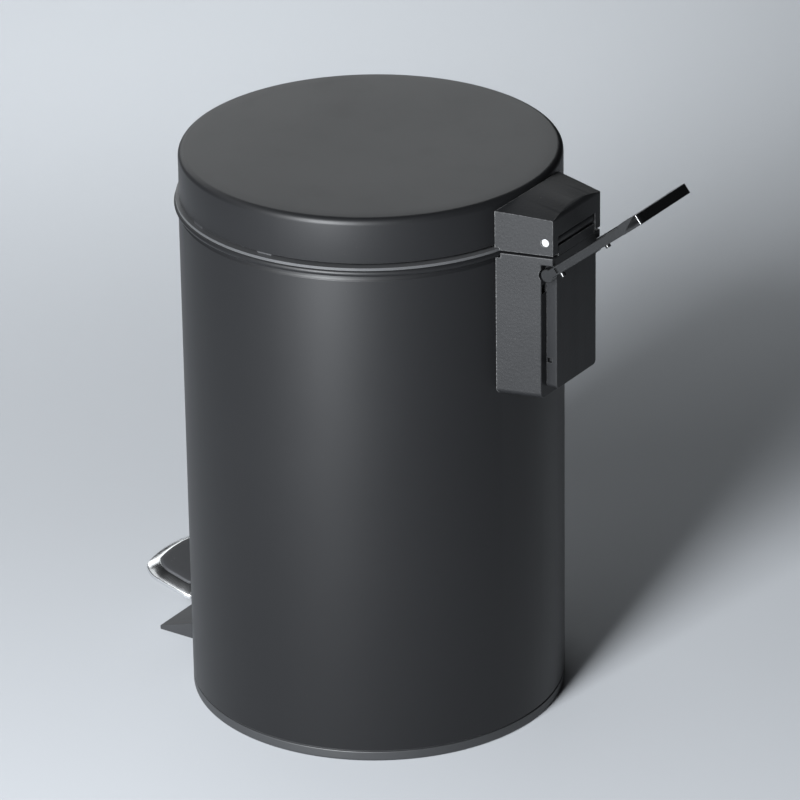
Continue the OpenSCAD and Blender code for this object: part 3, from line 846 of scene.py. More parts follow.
@dataclass
class CanShell:
    """Steel can: a rolled sheet with a stepped neck and a bead curled at its mouth."""

    radius: float = 85 * MM
    wall: float = 0.6 * MM
    foot_z: float = 5.2 * MM
    hem_round: float = 0.5 * MM
    neck_z: float = 233.5 * MM
    neck_in: float = 0.5 * MM
    bead_radius: float = 1.38 * MM
    bead_ring: float = 85.5 * MM
    bead_z: float = 237.1 * MM
    slot_half: float = 8.5 * MM
    slot_top: float = 27.2 * MM
    notch_half: float = 7.5 * MM
    notch_low: float = 223.578 * MM
    steps: int = 240

    def profile(self) -> list[Point]:
        """Works out the half section of the sheet, from the foot to the end of the curl.

        Returns:
            The points as radius and height.
        """
        hem = arc((self.radius - self.hem_round, self.foot_z + self.hem_round),
                  self.hem_round, -70, 0, 4)
        blend = self.neck_in
        knee = arc((self.radius - blend, self.neck_z - blend), blend, 0, 50, 4)
        neck = self.radius - self.neck_in
        fall = [(neck, self.neck_z + 0.7 * MM)]
        start = math.degrees(math.acos((neck - self.bead_ring) / self.bead_radius))
        curl = arc((self.bead_ring, self.bead_z), self.bead_radius, -start, 176, 26)
        return [*hem, *knee, *fall, *curl]

    def build(self, shop: Paintshop) -> None:
        """Makes the can.

        Args:
            shop: The built materials.
        """
        bm = spun(self.profile(), self.steps, closed=False)
        if sum(f.normal.dot(f.calc_center_median() * Vector((1, 1, 0))) for f in bm.faces
               if f.calc_center_median().z < self.neck_z) < 0:
            bmesh.ops.reverse_faces(bm, faces=bm.faces[:])
        window(bm, self.slot_half, 0.0, self.slot_top, -1)
        window(bm, self.notch_half, self.notch_low, 1.0, 1)
        thicken(bm, self.wall)
        settle(finished("can_shell", bm), Body.CAN, Slot.COATED_STEEL, shop, "outer_shell")


@dataclass
class LidCap:
    """Drawn steel lid with a rounded upper edge and a plain skirt."""

    radius: float = 84.6 * MM
    wall: float = 0.6 * MM
    skirt_z: float = 241 * MM
    height: float = 21 * MM
    edge: float = 3 * MM
    crown: float = 0.35 * MM
    hem_round: float = 0.35 * MM
    gate_half: float = 15 * MM
    gate_top: float = 256 * MM
    steps: int = 240

    def profile(self) -> list[Point]:
        """Works out the half section from the centre to the hem.

        Returns:
            The points as radius and height.
        """
        top = self.skirt_z + self.height
        flat = self.radius - self.edge
        dome = [(flat * share, top - self.crown * share ** 2)
                for share in (0.0, 0.12, 0.3, 0.5, 0.68, 0.82, 0.93)]
        corner = arc((flat, top - self.crown - self.edge), self.edge, 88, 0, 12)
        hem = arc((self.radius - self.hem_round, self.skirt_z + self.hem_round),
                  self.hem_round, 0, -70, 4)
        return [*dome, *corner, *hem]

    def build(self, shop: Paintshop) -> None:
        """Makes the lid.

        Args:
            shop: The built materials.
        """
        bm = spun(self.profile(), self.steps, closed=False)
        if sum(f.normal.z * f.calc_area() for f in bm.faces) < 0:
            bmesh.ops.reverse_faces(bm, faces=bm.faces[:])
        window(bm, self.gate_half, 0.0, self.gate_top, 1)
        thicken(bm, self.wall)
        settle(finished("lid_shell_drawn", bm), Body.LID, Slot.COATED_STEEL, shop,
               "lid_shell")


@dataclass
class HingeHousing:
    """Moulded housing behind the can, with side channels and a hinge knuckle."""

    half_front: float = 25.9 * MM
    front_y: float = 81.0 * MM
    slope: float = 6.55 / 25.1
    rear_y: float = 106.1 * MM
    channel_y: float = 100.9 * MM
    low_z: float = 170.6 * MM
    seam_z: float = 237.8 * MM
    block_half: float = 16.2 * MM
    block_low: float = 175.0 * MM
    foot_round: float = 3.0 * MM
    pivot_y: float = 103.5 * MM
    pivot_z: float = 229.6 * MM
    boss_room: float = 3.6 * MM
    head_z: float = 234.2 * MM
    hinge_y: float = 102.6 * MM
    hinge_z: float = 244.8 * MM
    knuckle: float = 3.3 * MM
    knuckle_half: float = 14.5 * MM
    relief: float = 4.3 * MM
    can_radius: float = 85.2 * MM
    bead_room: float = 87.1 * MM
    bead_low: float = 235.5 * MM
    notch_half: float = 7.5 * MM
    notch_low: float = 223.578 * MM
    edge: float = 0.45 * MM
    latch: float = 2.4 * MM
    screw_x: float = 14 * MM
    screw_boss: float = 3.6 * MM
    screw_heights: tuple[float, float] = (183.6 * MM, 221.8 * MM)
    peg_x: float = 18.4 * MM
    wall: float = 2.4 * MM

    def half(self, y: float) -> float:
        """Gives the half width of the housing at a distance behind the axis."""
        return self.half_front - (y - self.front_y) * self.slope

    def plan(self, inset: float, near_y: float, far_y: float) -> list[Point]:
        """Works out a plan of the housing.

        Args:
            inset: How far it is drawn inside its outline.
            near_y: Y of its front edge.
            far_y: Y of its rear edge.

        Returns:
            The corners as X and Y.
        """
        near, far = self.half(near_y) - inset, self.half(far_y) - inset
        return [(-near, near_y), (near, near_y), (far, far_y), (-far, far_y)]

    def main_box(self) -> bpy.types.Object:
        """Makes the wide box up to the channels, with round lower side edges.

        Returns:
            The solid.
        """
        bm = slab(self.plan(0.0, 76 * MM, self.channel_y), self.low_z, self.seam_z, UPRIGHT)
        low = self.low_z + 1 * MM
        rounded = [e for e in bm.edges if max(v.co.z for v in e.verts) < low
                   and abs(e.verts[0].co.x + e.verts[1].co.x) > self.block_half]
        bmesh.ops.bevel(bm, geom=rounded, offset=self.foot_round, affect="EDGES", segments=8,
                        profile=0.5, material=-1, clamp_overlap=True)
        soften(bm, self.edge, 3, 30.0, lambda co: co.y > self.front_y)
        return finished("housing_box", bm)

    def centre_block(self) -> bpy.types.Object:
        """Makes the raised block between the channels.

        Returns:
            The solid.
        """
        bm = block((-self.block_half, self.channel_y - 2 * MM, self.block_low),
                   (self.block_half, self.rear_y, self.seam_z - 1.0 * MM))
        corner = [e for e in bm.edges
                  if max(v.co.z for v in e.verts) < self.block_low + 1 * MM
                  and abs(e.verts[0].co.x + e.verts[1].co.x) > self.block_half]
        bmesh.ops.bevel(bm, geom=corner, offset=2.0 * MM, affect="EDGES", segments=5,
                        profile=0.5, material=-1, clamp_overlap=True)
        soften(bm, 0.6 * MM, 3, 30.0, lambda co: co.y > self.channel_y
               and co.z < self.seam_z - 2 * MM)
        return finished("housing_block", bm)

    def head(self) -> bpy.types.Object:
        """Makes the full depth head above the channels.

        Returns:
            The solid.
        """
        bm = slab(self.plan(0.0, 90 * MM, self.rear_y), self.head_z, self.seam_z, UPRIGHT)
        soften(bm, self.edge, 3, 30.0, lambda co: co.y > self.front_y + 12 * MM)
        return finished("housing_head", bm)

    def knuckle_tab(self) -> list[bpy.types.Object]:
        """Makes the tab with the knuckle round the hinge pin.

        Returns:
            The web, which is relieved for the cap, and the knuckle.
        """
        web = finished("tab_web", block(
            (-self.knuckle_half, self.hinge_y - self.knuckle, self.seam_z - 1 * MM),
            (self.knuckle_half, self.rear_y - 0.15 * MM, self.hinge_z)))
        room = finished("tab_room", pin(self.relief, -30 * MM, 30 * MM,
                                        self.hinge_y, self.hinge_z, 64))
        lower = block((-30 * MM, 95 * MM, self.hinge_z - 12 * MM),
                      (30 * MM, 110 * MM, self.hinge_z - 2.7 * MM))
        front = block((-30 * MM, 95 * MM, self.hinge_z - 12 * MM),
                      (30 * MM, self.hinge_y, self.hinge_z + 6 * MM))
        combined(room, [finished("room_low", lower), finished("room_front", front)],
                 Join.DIFFERENCE)
        combined(web, [room], Join.DIFFERENCE)
        roll = pin(self.knuckle, -self.knuckle_half, self.knuckle_half, self.hinge_y,
                   self.hinge_z, 64)
        soften(roll, 0.3 * MM, 2)
        return [web, finished("tab_roll", roll)]

    def cutters(self) -> list[bpy.types.Object]:
        """Makes the solids that are cut away.

        Returns:
            The can, the bead, the notch, the pockets, the bores and the hollow.
        """
        tools = []
        for name, radius, low in (("can", self.can_radius, 0.1), ("bead", self.bead_room,
                                                                  self.bead_low)):
            tools.append(finished(f"cut_{name}", drum(radius, low, low + CUT_HEIGHT,
                                                      segments=ROUND_SIDES)))
        tools.append(finished("cut_notch", block(
            (-self.notch_half, 80 * MM, self.notch_low),
            (self.notch_half, 96 * MM, self.notch_low + 40 * MM))))
        tools.append(finished("cut_pin", pin(1.77 * MM, -40 * MM, 40 * MM, self.hinge_y,
                                             self.hinge_z)))
        tools.append(finished("cut_handle_pin", pin(1.27 * MM, -40 * MM, 40 * MM,
                                                    self.pivot_y, self.pivot_z)))
        for side in (-1, 1):
            tools.append(finished("cut_boss", pin(
                self.boss_room, side * self.block_half, side * 40 * MM, self.pivot_y,
                self.pivot_z)))
            inner = side * (self.block_half - 2 * MM)
            outer = side * (self.block_half + 2 * MM)
            low_z = self.block_low + 12 * MM
            tools.append(finished("cut_latch", block(
                (min(inner, outer), self.channel_y + 0.3 * MM, low_z),
                (max(inner, outer), self.channel_y + 0.3 * MM + self.latch,
                 low_z + self.latch))))
            peg = side * self.peg_x
            tools.append(finished("cut_peg", block(
                (peg - 1.65 * MM, self.channel_y - 1.75 * MM, self.pivot_z - 9.15 * MM),
                (peg + 1.65 * MM, self.channel_y + 1 * MM, self.pivot_z - 4.95 * MM))))
        hollow = slab(self.plan(self.wall, 76 * MM, self.channel_y - self.wall),
                      self.low_z + self.wall, self.seam_z - self.wall, UPRIGHT)
        tools.append(finished("cut_hollow", hollow))
        return tools

    def fill_pieces(self) -> list[bpy.types.Object]:
        """Makes what stands inside the hollow: the hinge wall and the screw bosses.

        Returns:
            The solids, which are joined after the hollow is cut.
        """
        wall = finished("hinge_wall", block(
            (-self.knuckle_half, 96.0 * MM, self.notch_low),
            (self.knuckle_half, self.channel_y - 1 * MM, self.seam_z - 1 * MM)))
        made = [wall]
        for side in (-1, 1):
            for z in self.screw_heights:
                bm = bmesh.new()
                bmesh.ops.create_cone(
                    bm, cap_ends=True, segments=32, radius1=self.screw_boss,
                    radius2=self.screw_boss, depth=13.6 * MM,
                    matrix=Matrix.Translation((side * self.screw_x, 92.3 * MM, z))
                    @ Matrix.Rotation(math.pi / 2, 4, "X"))
                made.append(finished("screw_boss", bm))
        return made

    def build(self, shop: Paintshop) -> None:
        """Makes the housing.

        Args:
            shop: The built materials.
        """
        body = self.main_box()
        body.name = body.data.name = "housing_moulding"
        combined(body, [self.centre_block(), self.head(), *self.knuckle_tab()], Join.UNION)
        combined(body, self.cutters(), Join.DIFFERENCE)
        combined(body, self.fill_pieces(), Join.UNION)
        can = drum(self.can_radius, 0.1, 0.1 + CUT_HEIGHT, segments=ROUND_SIDES)
        combined(body, [finished("can_room", can)], Join.DIFFERENCE)
        settle(tidied(body), Body.CAN, Slot.HOUSING_PLASTIC, shop, "hinge_housing")


@dataclass
class HingeCap:
    """Moulded cap above the housing, crowned on top, that turns with the lid."""

    housing: HingeHousing
    low_z: float = 239.0 * MM
    edge_z: float = 257.0 * MM
    crown_z: float = 260.0 * MM
    rear_round: float = 3.2 * MM
    tilt: float = 7.0
    lid_radius: float = 84.9 * MM
    rim_radius: float = 86.6 * MM
    rim_z: float = 240.1 * MM
    wall: float = 2.2 * MM
    notch_half: float = 15.2 * MM
    notch_z: float = 246.9 * MM
    roll_room: float = 3.55 * MM
    edge: float = 0.5 * MM
    boss_x: float = 9 * MM
    boss_y: float = 92 * MM
    boss_z: float = 253.4 * MM
    boss_radius: float = 2.9 * MM

    def side_outline(self, inset: float, low: float) -> list[Point]:
        """Works out the outline seen from the side.

        Args:
            inset: How far it is drawn inside the cap.
            low: Height of its lower edge.

        Returns:
            The corners as Y and Z.
        """
        rear, top = self.housing.rear_y - inset, self.crown_z - inset
        centre_y = rear - self.rear_round
        centre_z = top - (centre_y - 85 * MM) * math.tan(math.radians(self.tilt)) \
            - self.rear_round
        turn = arc((centre_y, centre_z), self.rear_round, 0, 90 - self.tilt, 8)
        return [(76 * MM, low), (rear, low), *turn, (centre_y - 4 * MM, top), (76 * MM, top)]

    def form(self, name: str, inset: float, low: float) -> bpy.types.Object:
        """Makes the crowned form of the cap.

        Args:
            name: Name of the object.
            inset: How far it lies inside the cap.
            low: Height of its lower face.

        Returns:
            The solid.
        """
        top = self.crown_z + 1 * MM
        body = slab(self.housing.plan(inset, 76 * MM, self.housing.rear_y - inset), low, top,
                    UPRIGHT)
        piece = finished(name, body)
        side = finished("cap_side", slab(self.side_outline(inset, low - 1 * MM), -40 * MM,
                                         40 * MM, ACROSS))
        rise = self.crown_z - self.edge_z
        half = self.housing.half(89 * MM)
        radius = (half ** 2 + rise ** 2) / (2 * rise)
        crown_arc = arc((0.0, -radius), radius, 72, 108, 40)
        crown = [*crown_arc, (crown_arc[-1][0], -40 * MM), (crown_arc[0][0], -40 * MM)]
        lean = math.radians(self.tilt)
        ridge = self.crown_z - inset - radius / math.cos(lean) + radius * math.cos(lean)
        place = (Matrix.Translation((0, 85 * MM + radius * math.sin(lean), ridge))
                 @ Matrix.Rotation(-lean, 4, "X") @ REARWARD)
        vault = finished("cap_vault", slab(crown, -0.06, 0.03, place))
        return combined(piece, [side, vault], Join.INTERSECT)

    def cavity(self) -> bpy.types.Object:
        """Makes the hollow of the cap, with its two cheeks left solid.

        Returns:
            The solid that is cut away.
        """
        hollow = self.form("cap_hollow", self.wall, self.low_z - 1 * MM)
        place = self.housing
        inner = self.notch_half
        cheeks = []
        for side in (-1, 1):
            cheeks.append(finished("cheek_roll", pin(
                place.knuckle + 1 * MM, side * inner, side * 40 * MM, place.hinge_y,
                place.hinge_z)))
            ends = sorted((side * inner, side * 40 * MM))
            cheeks.append(finished("cheek_web", block(
                (ends[0], place.hinge_y - place.knuckle - 1 * MM, place.hinge_z),
                (ends[1], 120 * MM, 270 * MM))))
        return combined(hollow, cheeks, Join.DIFFERENCE)

    def cutters(self) -> list[bpy.types.Object]:
        """Makes the solids that are cut out of the cap.

        Returns:
            The lid, the rim, the hollow, the bores and the notch in the rear wall.
        """
        place = self.housing
        tools = [self.cavity()]
        for name, radius, high in (("lid", self.lid_radius, 0.4),
                                   ("rim", self.rim_radius, self.rim_z)):
            tools.append(finished(f"cut_{name}", drum(radius, 0.2, high,
                                                      segments=ROUND_SIDES)))
        tools.append(finished("cut_roll", pin(self.roll_room, -self.notch_half,
                                              self.notch_half, place.hinge_y,
                                              place.hinge_z, 64)))
        tools.append(finished("cut_bore", pin(1.81 * MM, -40 * MM, 40 * MM, place.hinge_y,
                                              place.hinge_z)))
        tools.append(finished("cut_rear_notch", block(
            (-self.notch_half, place.hinge_y - 4.3 * MM, self.low_z - 1 * MM),
            (self.notch_half, place.hinge_y + 15.7 * MM, self.notch_z))))
        return tools

    def posts(self) -> list[bpy.types.Object]:
        """Makes the two screw posts inside the cap.

        Returns:
            The solids.
        """
        made = []
        top = self.crown_z - self.wall - 0.2 * MM
        for side in (-1, 1):
            made.append(finished("cap_post", drum(self.boss_radius, self.boss_z, top,
                                                  side * self.boss_x, self.boss_y)))
        return made

    def build(self, shop: Paintshop) -> None:
        """Makes the cap.

        Args:
            shop: The built materials.
        """
        cap = self.form("hinge_cap_moulding", 0.0, self.low_z)
        cap.data.name = cap.name
        bm = bmesh.new()
        bm.from_mesh(cap.data)
        bmesh.ops.remove_doubles(bm, verts=bm.verts[:], dist=2e-6)
        bmesh.ops.dissolve_limit(bm, angle_limit=math.radians(0.4), verts=bm.verts[:],
                                 edges=bm.edges[:])
        soften(bm, self.edge, 3, 40.0, lambda co: co.y > 84 * MM)
        bm.to_mesh(cap.data)
        bm.free()
        combined(cap, self.cutters(), Join.DIFFERENCE)
        combined(cap, self.posts(), Join.UNION)
        settle(tidied(cap), Body.LID, Slot.HOUSING_PLASTIC, shop, "hinge_cap")


@dataclass
class CarryHandle:
    """Folding handle: two recessed arms with pegs and a bowed grip across their ends."""

    pivot_y: float = 103.5 * MM
    pivot_z: float = 229.6 * MM
    raised: float = 38.5
    length: float = 59 * MM
    boss: float = 3.1 * MM
    arm_in: float = 16.5 * MM
    arm_out: float = 20.3 * MM
    thick: float = 4 * MM
    bar_from: float = 47 * MM
    bar_low: float = 2.1 * MM
    bar_high: float = 2.9 * MM
    bow: float = 60 * MM
    peg_radius: float = 1.3 * MM
    peg_at: float = 6.6 * MM
    peg_drop: float = 4 * MM
    bore: float = 1.31 * MM
    bore_half: float = 19.92 * MM
    edge: float = 0.45 * MM
    groove: float = 0.8 * MM

    def placed(self) -> Matrix:
        """Gives the matrix from the level handle at its pivot to its raised place."""
        return (Matrix.Translation((0, self.pivot_y, self.pivot_z))
                @ Matrix.Rotation(math.radians(self.raised), 4, "X"))

    def arm_outline(self) -> list[Point]:
        """Works out the side view of one arm, a round boss with a straight arm.

        Returns:
            The corners as Y and Z, with the pivot at 0, 0.
        """
        half = self.thick / 2
        meet = math.degrees(math.asin(half / self.boss))
        return [*arc((0.0, 0.0), self.boss, meet, 360 - meet, 28),
                (self.bar_from + 2 * MM, -half), (self.bar_from + 2 * MM, half)]

    def arm(self, side: int) -> bpy.types.Object:
        """Makes one arm with the long recess in its outer face.

        Args:
            side: -1 or 1.

        Returns:
            The solid.
        """
        bm = slab(self.arm_outline(), self.arm_in, self.arm_out, ACROSS)
        soften(bm, self.edge, 3, 40.0)
        arm = finished("handle_arm", bm)
        outline = [(5.5 * MM, -1.2 * MM), (self.bar_from - 3 * MM, -1.2 * MM),
                   (self.bar_from - 3 * MM, 1.2 * MM), (5.5 * MM, 1.2 * MM)]
        groove = slab(outline, self.arm_out - self.groove, self.arm_out + 1 * MM, ACROSS)
        combined(arm, [finished("arm_groove", groove)], Join.DIFFERENCE)
        if side < 0:
            arm.data.transform(Matrix.Diagonal((-1, 1, 1, 1)))
            arm.data.flip_normals()
        return arm

    def grip(self) -> bpy.types.Object:
        """Makes the grip across the ends, bowed on its upper side.

        Returns:
            The solid.
        """
        centre = (self.length - 6 * MM, self.bar_high - self.bow)
        reach = [math.degrees(math.acos((y - centre[0]) / self.bow))
                 for y in (self.length, self.bar_from - 0.5 * MM)]
        upper = arc(centre, self.bow, reach[0], reach[1], 10)
        outline = [*upper, (self.bar_from, -self.bar_low), (self.length, -self.bar_low)]
        half = self.arm_out + 0.04 * MM
        bm = slab(outline, -half, half, ACROSS)
        corner = [e for e in bm.edges if min(v.co.y for v in e.verts) > self.length - 1e-4
                  and abs(e.verts[0].co.x + e.verts[1].co.x) > self.arm_out
                  and abs(e.verts[0].co.x - e.verts[1].co.x) < 1e-5]
        bmesh.ops.bevel(bm, geom=corner, offset=3 * MM, affect="EDGES", segments=6,
                        profile=0.5, material=-1, clamp_overlap=True)
        soften(bm, 0.6 * MM, 3, 40.0)
        grip = finished("grip", bm)
        gap = block((-self.arm_in + 0.04 * MM, self.bar_from - 3 * MM, -9 * MM),
                    (self.arm_in - 0.04 * MM, self.length - 4 * MM, 9 * MM))
        return combined(grip, [finished("grip_gap", gap)], Join.DIFFERENCE)

    def pegs(self) -> list[bpy.types.Object]:
        """Makes the pegs that snap the folded handle into the channels.

        Returns:
            The solids.
        """
        made = []
        for side in (-1, 1):
            bm = drum(self.peg_radius, -self.peg_drop, -1.4 * MM,
                      side * (self.arm_in + self.arm_out) / 2, self.peg_at)
            soften(bm, 0.25 * MM, 2, 40.0)
            made.append(finished("peg", bm))
        return made

    def build(self, shop: Paintshop) -> None:
        """Makes the handle.

        Args:
            shop: The built materials.
        """
        handle = self.grip()
        handle.name = handle.data.name = "carry_handle_moulding"
        combined(handle, [self.arm(-1), self.arm(1)], Join.UNION)
        combined(handle, [finished("bore", pin(self.bore, -self.bore_half, self.bore_half,
                                               0, 0))], Join.DIFFERENCE)
        tidied(gathered(handle, self.pegs()))
        handle.data.transform(self.placed())
        settle(handle, Body.HANDLE, Slot.HOUSING_PLASTIC, shop, "carry_handle")
        handle.data.materials[0] = shop.handle  # moulded smooth, unlike the housing


@dataclass
class Pedal:
    """Bright pressed pedal with a bevelled rim and a rubber pad, on the sloping arm."""

    axle_y: float = -45 * MM
    axle_z: float = 9.5 * MM
    slope: float = 15.5
    half: float = 23 * MM
    front: float = 78 * MM
    rear: float = 44.5 * MM
    front_round: float = 13 * MM
    rear_round: float = 6 * MM
    nose: float = 70 * MM
    low: float = 0.35 * MM
    skirt: float = 1.4 * MM
    section: tuple[Point, ...] = (
        (4.7 * MM, 3.4 * MM), (1.1 * MM, 1.2 * MM), (1.0 * MM, 0.0), (0.15 * MM, 0.0),
        (0.0, 0.15 * MM), (0.0, 1.4 * MM), (0.12 * MM, 1.8 * MM), (0.45 * MM, 2.25 * MM),
        (1.4 * MM, 3.0 * MM), (2.6 * MM, 3.8 * MM), (3.6 * MM, 4.4 * MM),
        (4.2 * MM, 4.68 * MM), (4.6 * MM, 4.8 * MM), (4.85 * MM, 4.72 * MM),
        (4.9 * MM, 4.3 * MM))
    pad_inset: float = 4.95 * MM
    pad_section: tuple[Point, ...] = (
        (0.0, -0.4 * MM), (0.0, 0.45 * MM), (0.1 * MM, 0.75 * MM), (0.35 * MM, 0.95 * MM),
        (0.8 * MM, 1.08 * MM), (2.4 * MM, 1.2 * MM), (4.2 * MM, 1.28 * MM))
    lever_half: float = 7.3 * MM
    rivet_x: float = 8 * MM
    rivet_y: float = 63 * MM
    rivet_radius: float = 1.52 * MM
    boss: float = 3.6 * MM

    def placed(self) -> Matrix:
        """Gives the matrix from the level pedal at its axle to its sloping place."""
        return (Matrix.Translation((0, self.axle_y, self.axle_z))
                @ Matrix.Rotation(math.radians(-self.slope), 4, "X"))

    def outline(self, inset: float) -> list[Point]:
        """Works out the outline, a rounded rectangle with a bowed front.

        Args:
            inset: How far it is drawn inside the edge.

        Returns:
            The corners as X and Y.
        """
        near, far = self.front_round - inset / 2, self.rear_round - inset / 2
        half, front, rear = self.half - inset, self.front - inset, self.rear + inset
        corners = [*arc((half - far, -rear - far), far, 90, 0, 8),
                   *arc((half - near, -front + near), near, 0, -90, 14),
                   *[(x * (half - near), -front) for x in (0.75, 0.5, 0.25, 0, -0.25, -0.5,
                                                           -0.75)],
                   *arc((near - half, -front + near), near, -90, -180, 14),
                   *arc((far - half, -rear - far), far, 180, 90, 8)]
        centre, reach = Vector((0, -self.front + self.nose)), self.nose - inset
        held = []
        for point in corners:
            out = Vector(point) - centre
            if out.length > reach:
                out = out.normalized() * reach
            held.append(tuple(centre + out))
        return held

    def frame_shell(self) -> bpy.types.Object:
        """Makes the pressed rim with its hollow underside.

        Returns:
            The solid on the level arm.
        """
        rings = [(inset, self.low + height) for inset, height in self.section]
        bm = stacked([(self.outline(inset), height) for inset, height in rings])
        rim = finished("pedal_rim", bm)
        opening = block((-self.lever_half, -self.rear - 3 * MM, -2 * MM),
                        (self.lever_half, -self.rear + 3 * MM, 1.3 * MM))
        combined(rim, [finished("lever_opening", opening)], Join.DIFFERENCE)
        posts, holes = [], []
        for side in (-1, 1):
            for made, radius, low, high in ((posts, self.boss, 1.25 * MM, 4.4 * MM),
                                            (holes, self.rivet_radius, -9 * MM, 9 * MM)):
                made.append(finished("rivet_place", drum(
                    radius, low, high, side * self.rivet_x, -self.rivet_y)))
        combined(rim, posts, Join.UNION)
        return combined(rim, holes, Join.DIFFERENCE)

    def pad(self) -> bpy.types.Object:
        """Makes the rubber pad with a rounded edge and a slight crown.

        Returns:
            The solid on the level arm.
        """
        base = self.low + self.skirt + 3.4 * MM
        bm = stacked([(self.outline(self.pad_inset + inset), base + height)
                      for inset, height in self.pad_section])
        return finished("pedal_pad_moulding", bm)

    def build(self, shop: Paintshop) -> None:
        """Makes the rim and the pad.

        Args:
            shop: The built materials.
        """
        rim = self.frame_shell()
        rim.name = rim.data.name = "pedal_rim_pressing"
        tidied(rim, 40.0)
        pad = self.pad()
        for piece in (rim, pad):
            piece.data.transform(self.placed())
        settle(rim, Body.PEDAL, Slot.PEDAL_CHROME, shop, "pedal_frame")
        settle(pad, Body.PEDAL, Slot.PAD_RUBBER, shop, "pedal_pad")


@dataclass
class BaseRing:
    """Moulded foot: a floor, a rim below the steel, a collar and the ramp in front."""

    radius: float = 85 * MM
    height: float = 4.7 * MM
    floor: float = 2.2 * MM
    flange_in: float = 80 * MM
    collar_in: float = 81.9 * MM
    collar_out: float = 84.2 * MM
    collar_top: float = 18.7 * MM
    low_round: float = 1.1 * MM
    high_round: float = 0.4 * MM
    tongue_half: float = 18.5 * MM
    tongue_front: float = 110.5 * MM
    tongue_tip: float = 1.8 * MM
    tongue_rise: float = 10 * MM
    pedal_half: float = 8.5 * MM
    rear_half: float = 7.5 * MM
    lug_x: float = 11.8 * MM
    lug_half: float = 2.5 * MM
    lug_radius: float = 4 * MM
    axle_y: float = -45 * MM
    axle_z: float = 9.5 * MM
    axle_radius: float = 2.02 * MM
    steps: int = 240

    def profile(self) -> list[Point]:
        """Works out the closed half section.

        Returns:
            The points as radius and height.
        """
        low, high = self.low_round, self.high_round
        outer = [*arc((self.radius - low, low), low, -90, 0, 6),
                 *arc((self.radius - high, self.height - high), high, 0, 90, 4)]
        return [(0.0, 0.0), *outer, (self.collar_out, self.height),
                (self.collar_out, self.collar_top - 0.4 * MM),
                (self.collar_out - 0.4 * MM, self.collar_top),
                (self.collar_in, self.collar_top), (self.collar_in, self.height),
                (self.flange_in, self.height), (self.flange_in, self.floor),
                (0.0, self.floor)]

    def tongue(self) -> bpy.types.Object:
        """Makes the wedge in front of the can.

        Returns:
            The solid.
        """
        back = self.radius - 4 * MM
        front = self.radius + 0.3 * MM
        outline = [(-back, 0.0), (-self.tongue_front, 0.0),
                   (-self.tongue_front, self.tongue_tip), (-front, self.tongue_rise),
                   (-front, self.height - 0.2 * MM), (-back, self.height - 0.2 * MM)]
        bm = slab(outline, -self.tongue_half, self.tongue_half, ACROSS)
        soften(bm, 0.55 * MM, 3, 25.0, lambda co: co.y < -self.radius - 1 * MM
               and (co.z > 0.5 * MM or co.y < -self.tongue_front + 1 * MM))
        return finished("base_tongue", bm)

    def lugs(self) -> list[bpy.types.Object]:
        """Makes the two lugs that carry the pedal axle.

        Returns:
            The solids.
        """
        made = []
        for side in (-1, 1):
            x = side * self.lug_x
            made.append(finished("lug_foot", block(
                (x - self.lug_half, self.axle_y - self.lug_radius, self.floor - 0.2 * MM),
                (x + self.lug_half, self.axle_y + self.lug_radius, self.axle_z))))
            made.append(finished("lug_eye", pin(
                self.lug_radius, x - self.lug_half - 0.01 * MM, x + self.lug_half + 0.01 * MM,
                self.axle_y, self.axle_z)))
        return made

    def build(self, shop: Paintshop) -> None:
        """Makes the foot.

        Args:
            shop: The built materials.
        """
        base = finished("base_moulding", spun(self.profile(), self.steps, closed=True))
        combined(base, [self.tongue(), *self.lugs()], Join.UNION)
        inner = 76.4 * MM
        cuts = [
            block((-self.pedal_half, -86 * MM, self.height),
                  (self.pedal_half, -78 * MM, self.collar_top + 1 * MM)),
            block((-self.rear_half, inner, self.height),
                  (self.rear_half, 88 * MM, self.collar_top + 1 * MM)),
            block((-self.rear_half, inner, self.floor + 0.4 * MM),
                  (self.rear_half, 84 * MM, self.height + 1 * MM)),
            pin(self.axle_radius, -40 * MM, 40 * MM, self.axle_y, self.axle_z),
        ]
        combined(base, [finished(f"base_cut_{i}", bm) for i, bm in enumerate(cuts)],
                 Join.DIFFERENCE)
        settle(tidied(base), Body.CAN, Slot.BASE_PLASTIC, shop, "base_ring")


# ---------- studio ----------


@dataclass(frozen=True)
class SoftBox:
    """One soft lamp, placed by its bearing from the camera's side."""

    name: str
    bearing: float                  # degrees to the left of the camera, seen from above
    rise: float                     # degrees above the floor
    distance: float
    width: float
    height: float
    power: float
    colour: Colour = (1.0, 1.0, 1.0)
    faces: float = 0.0              # how far out on its bearing lies the point it faces
    faces_z: float = 0.13           # height of that point


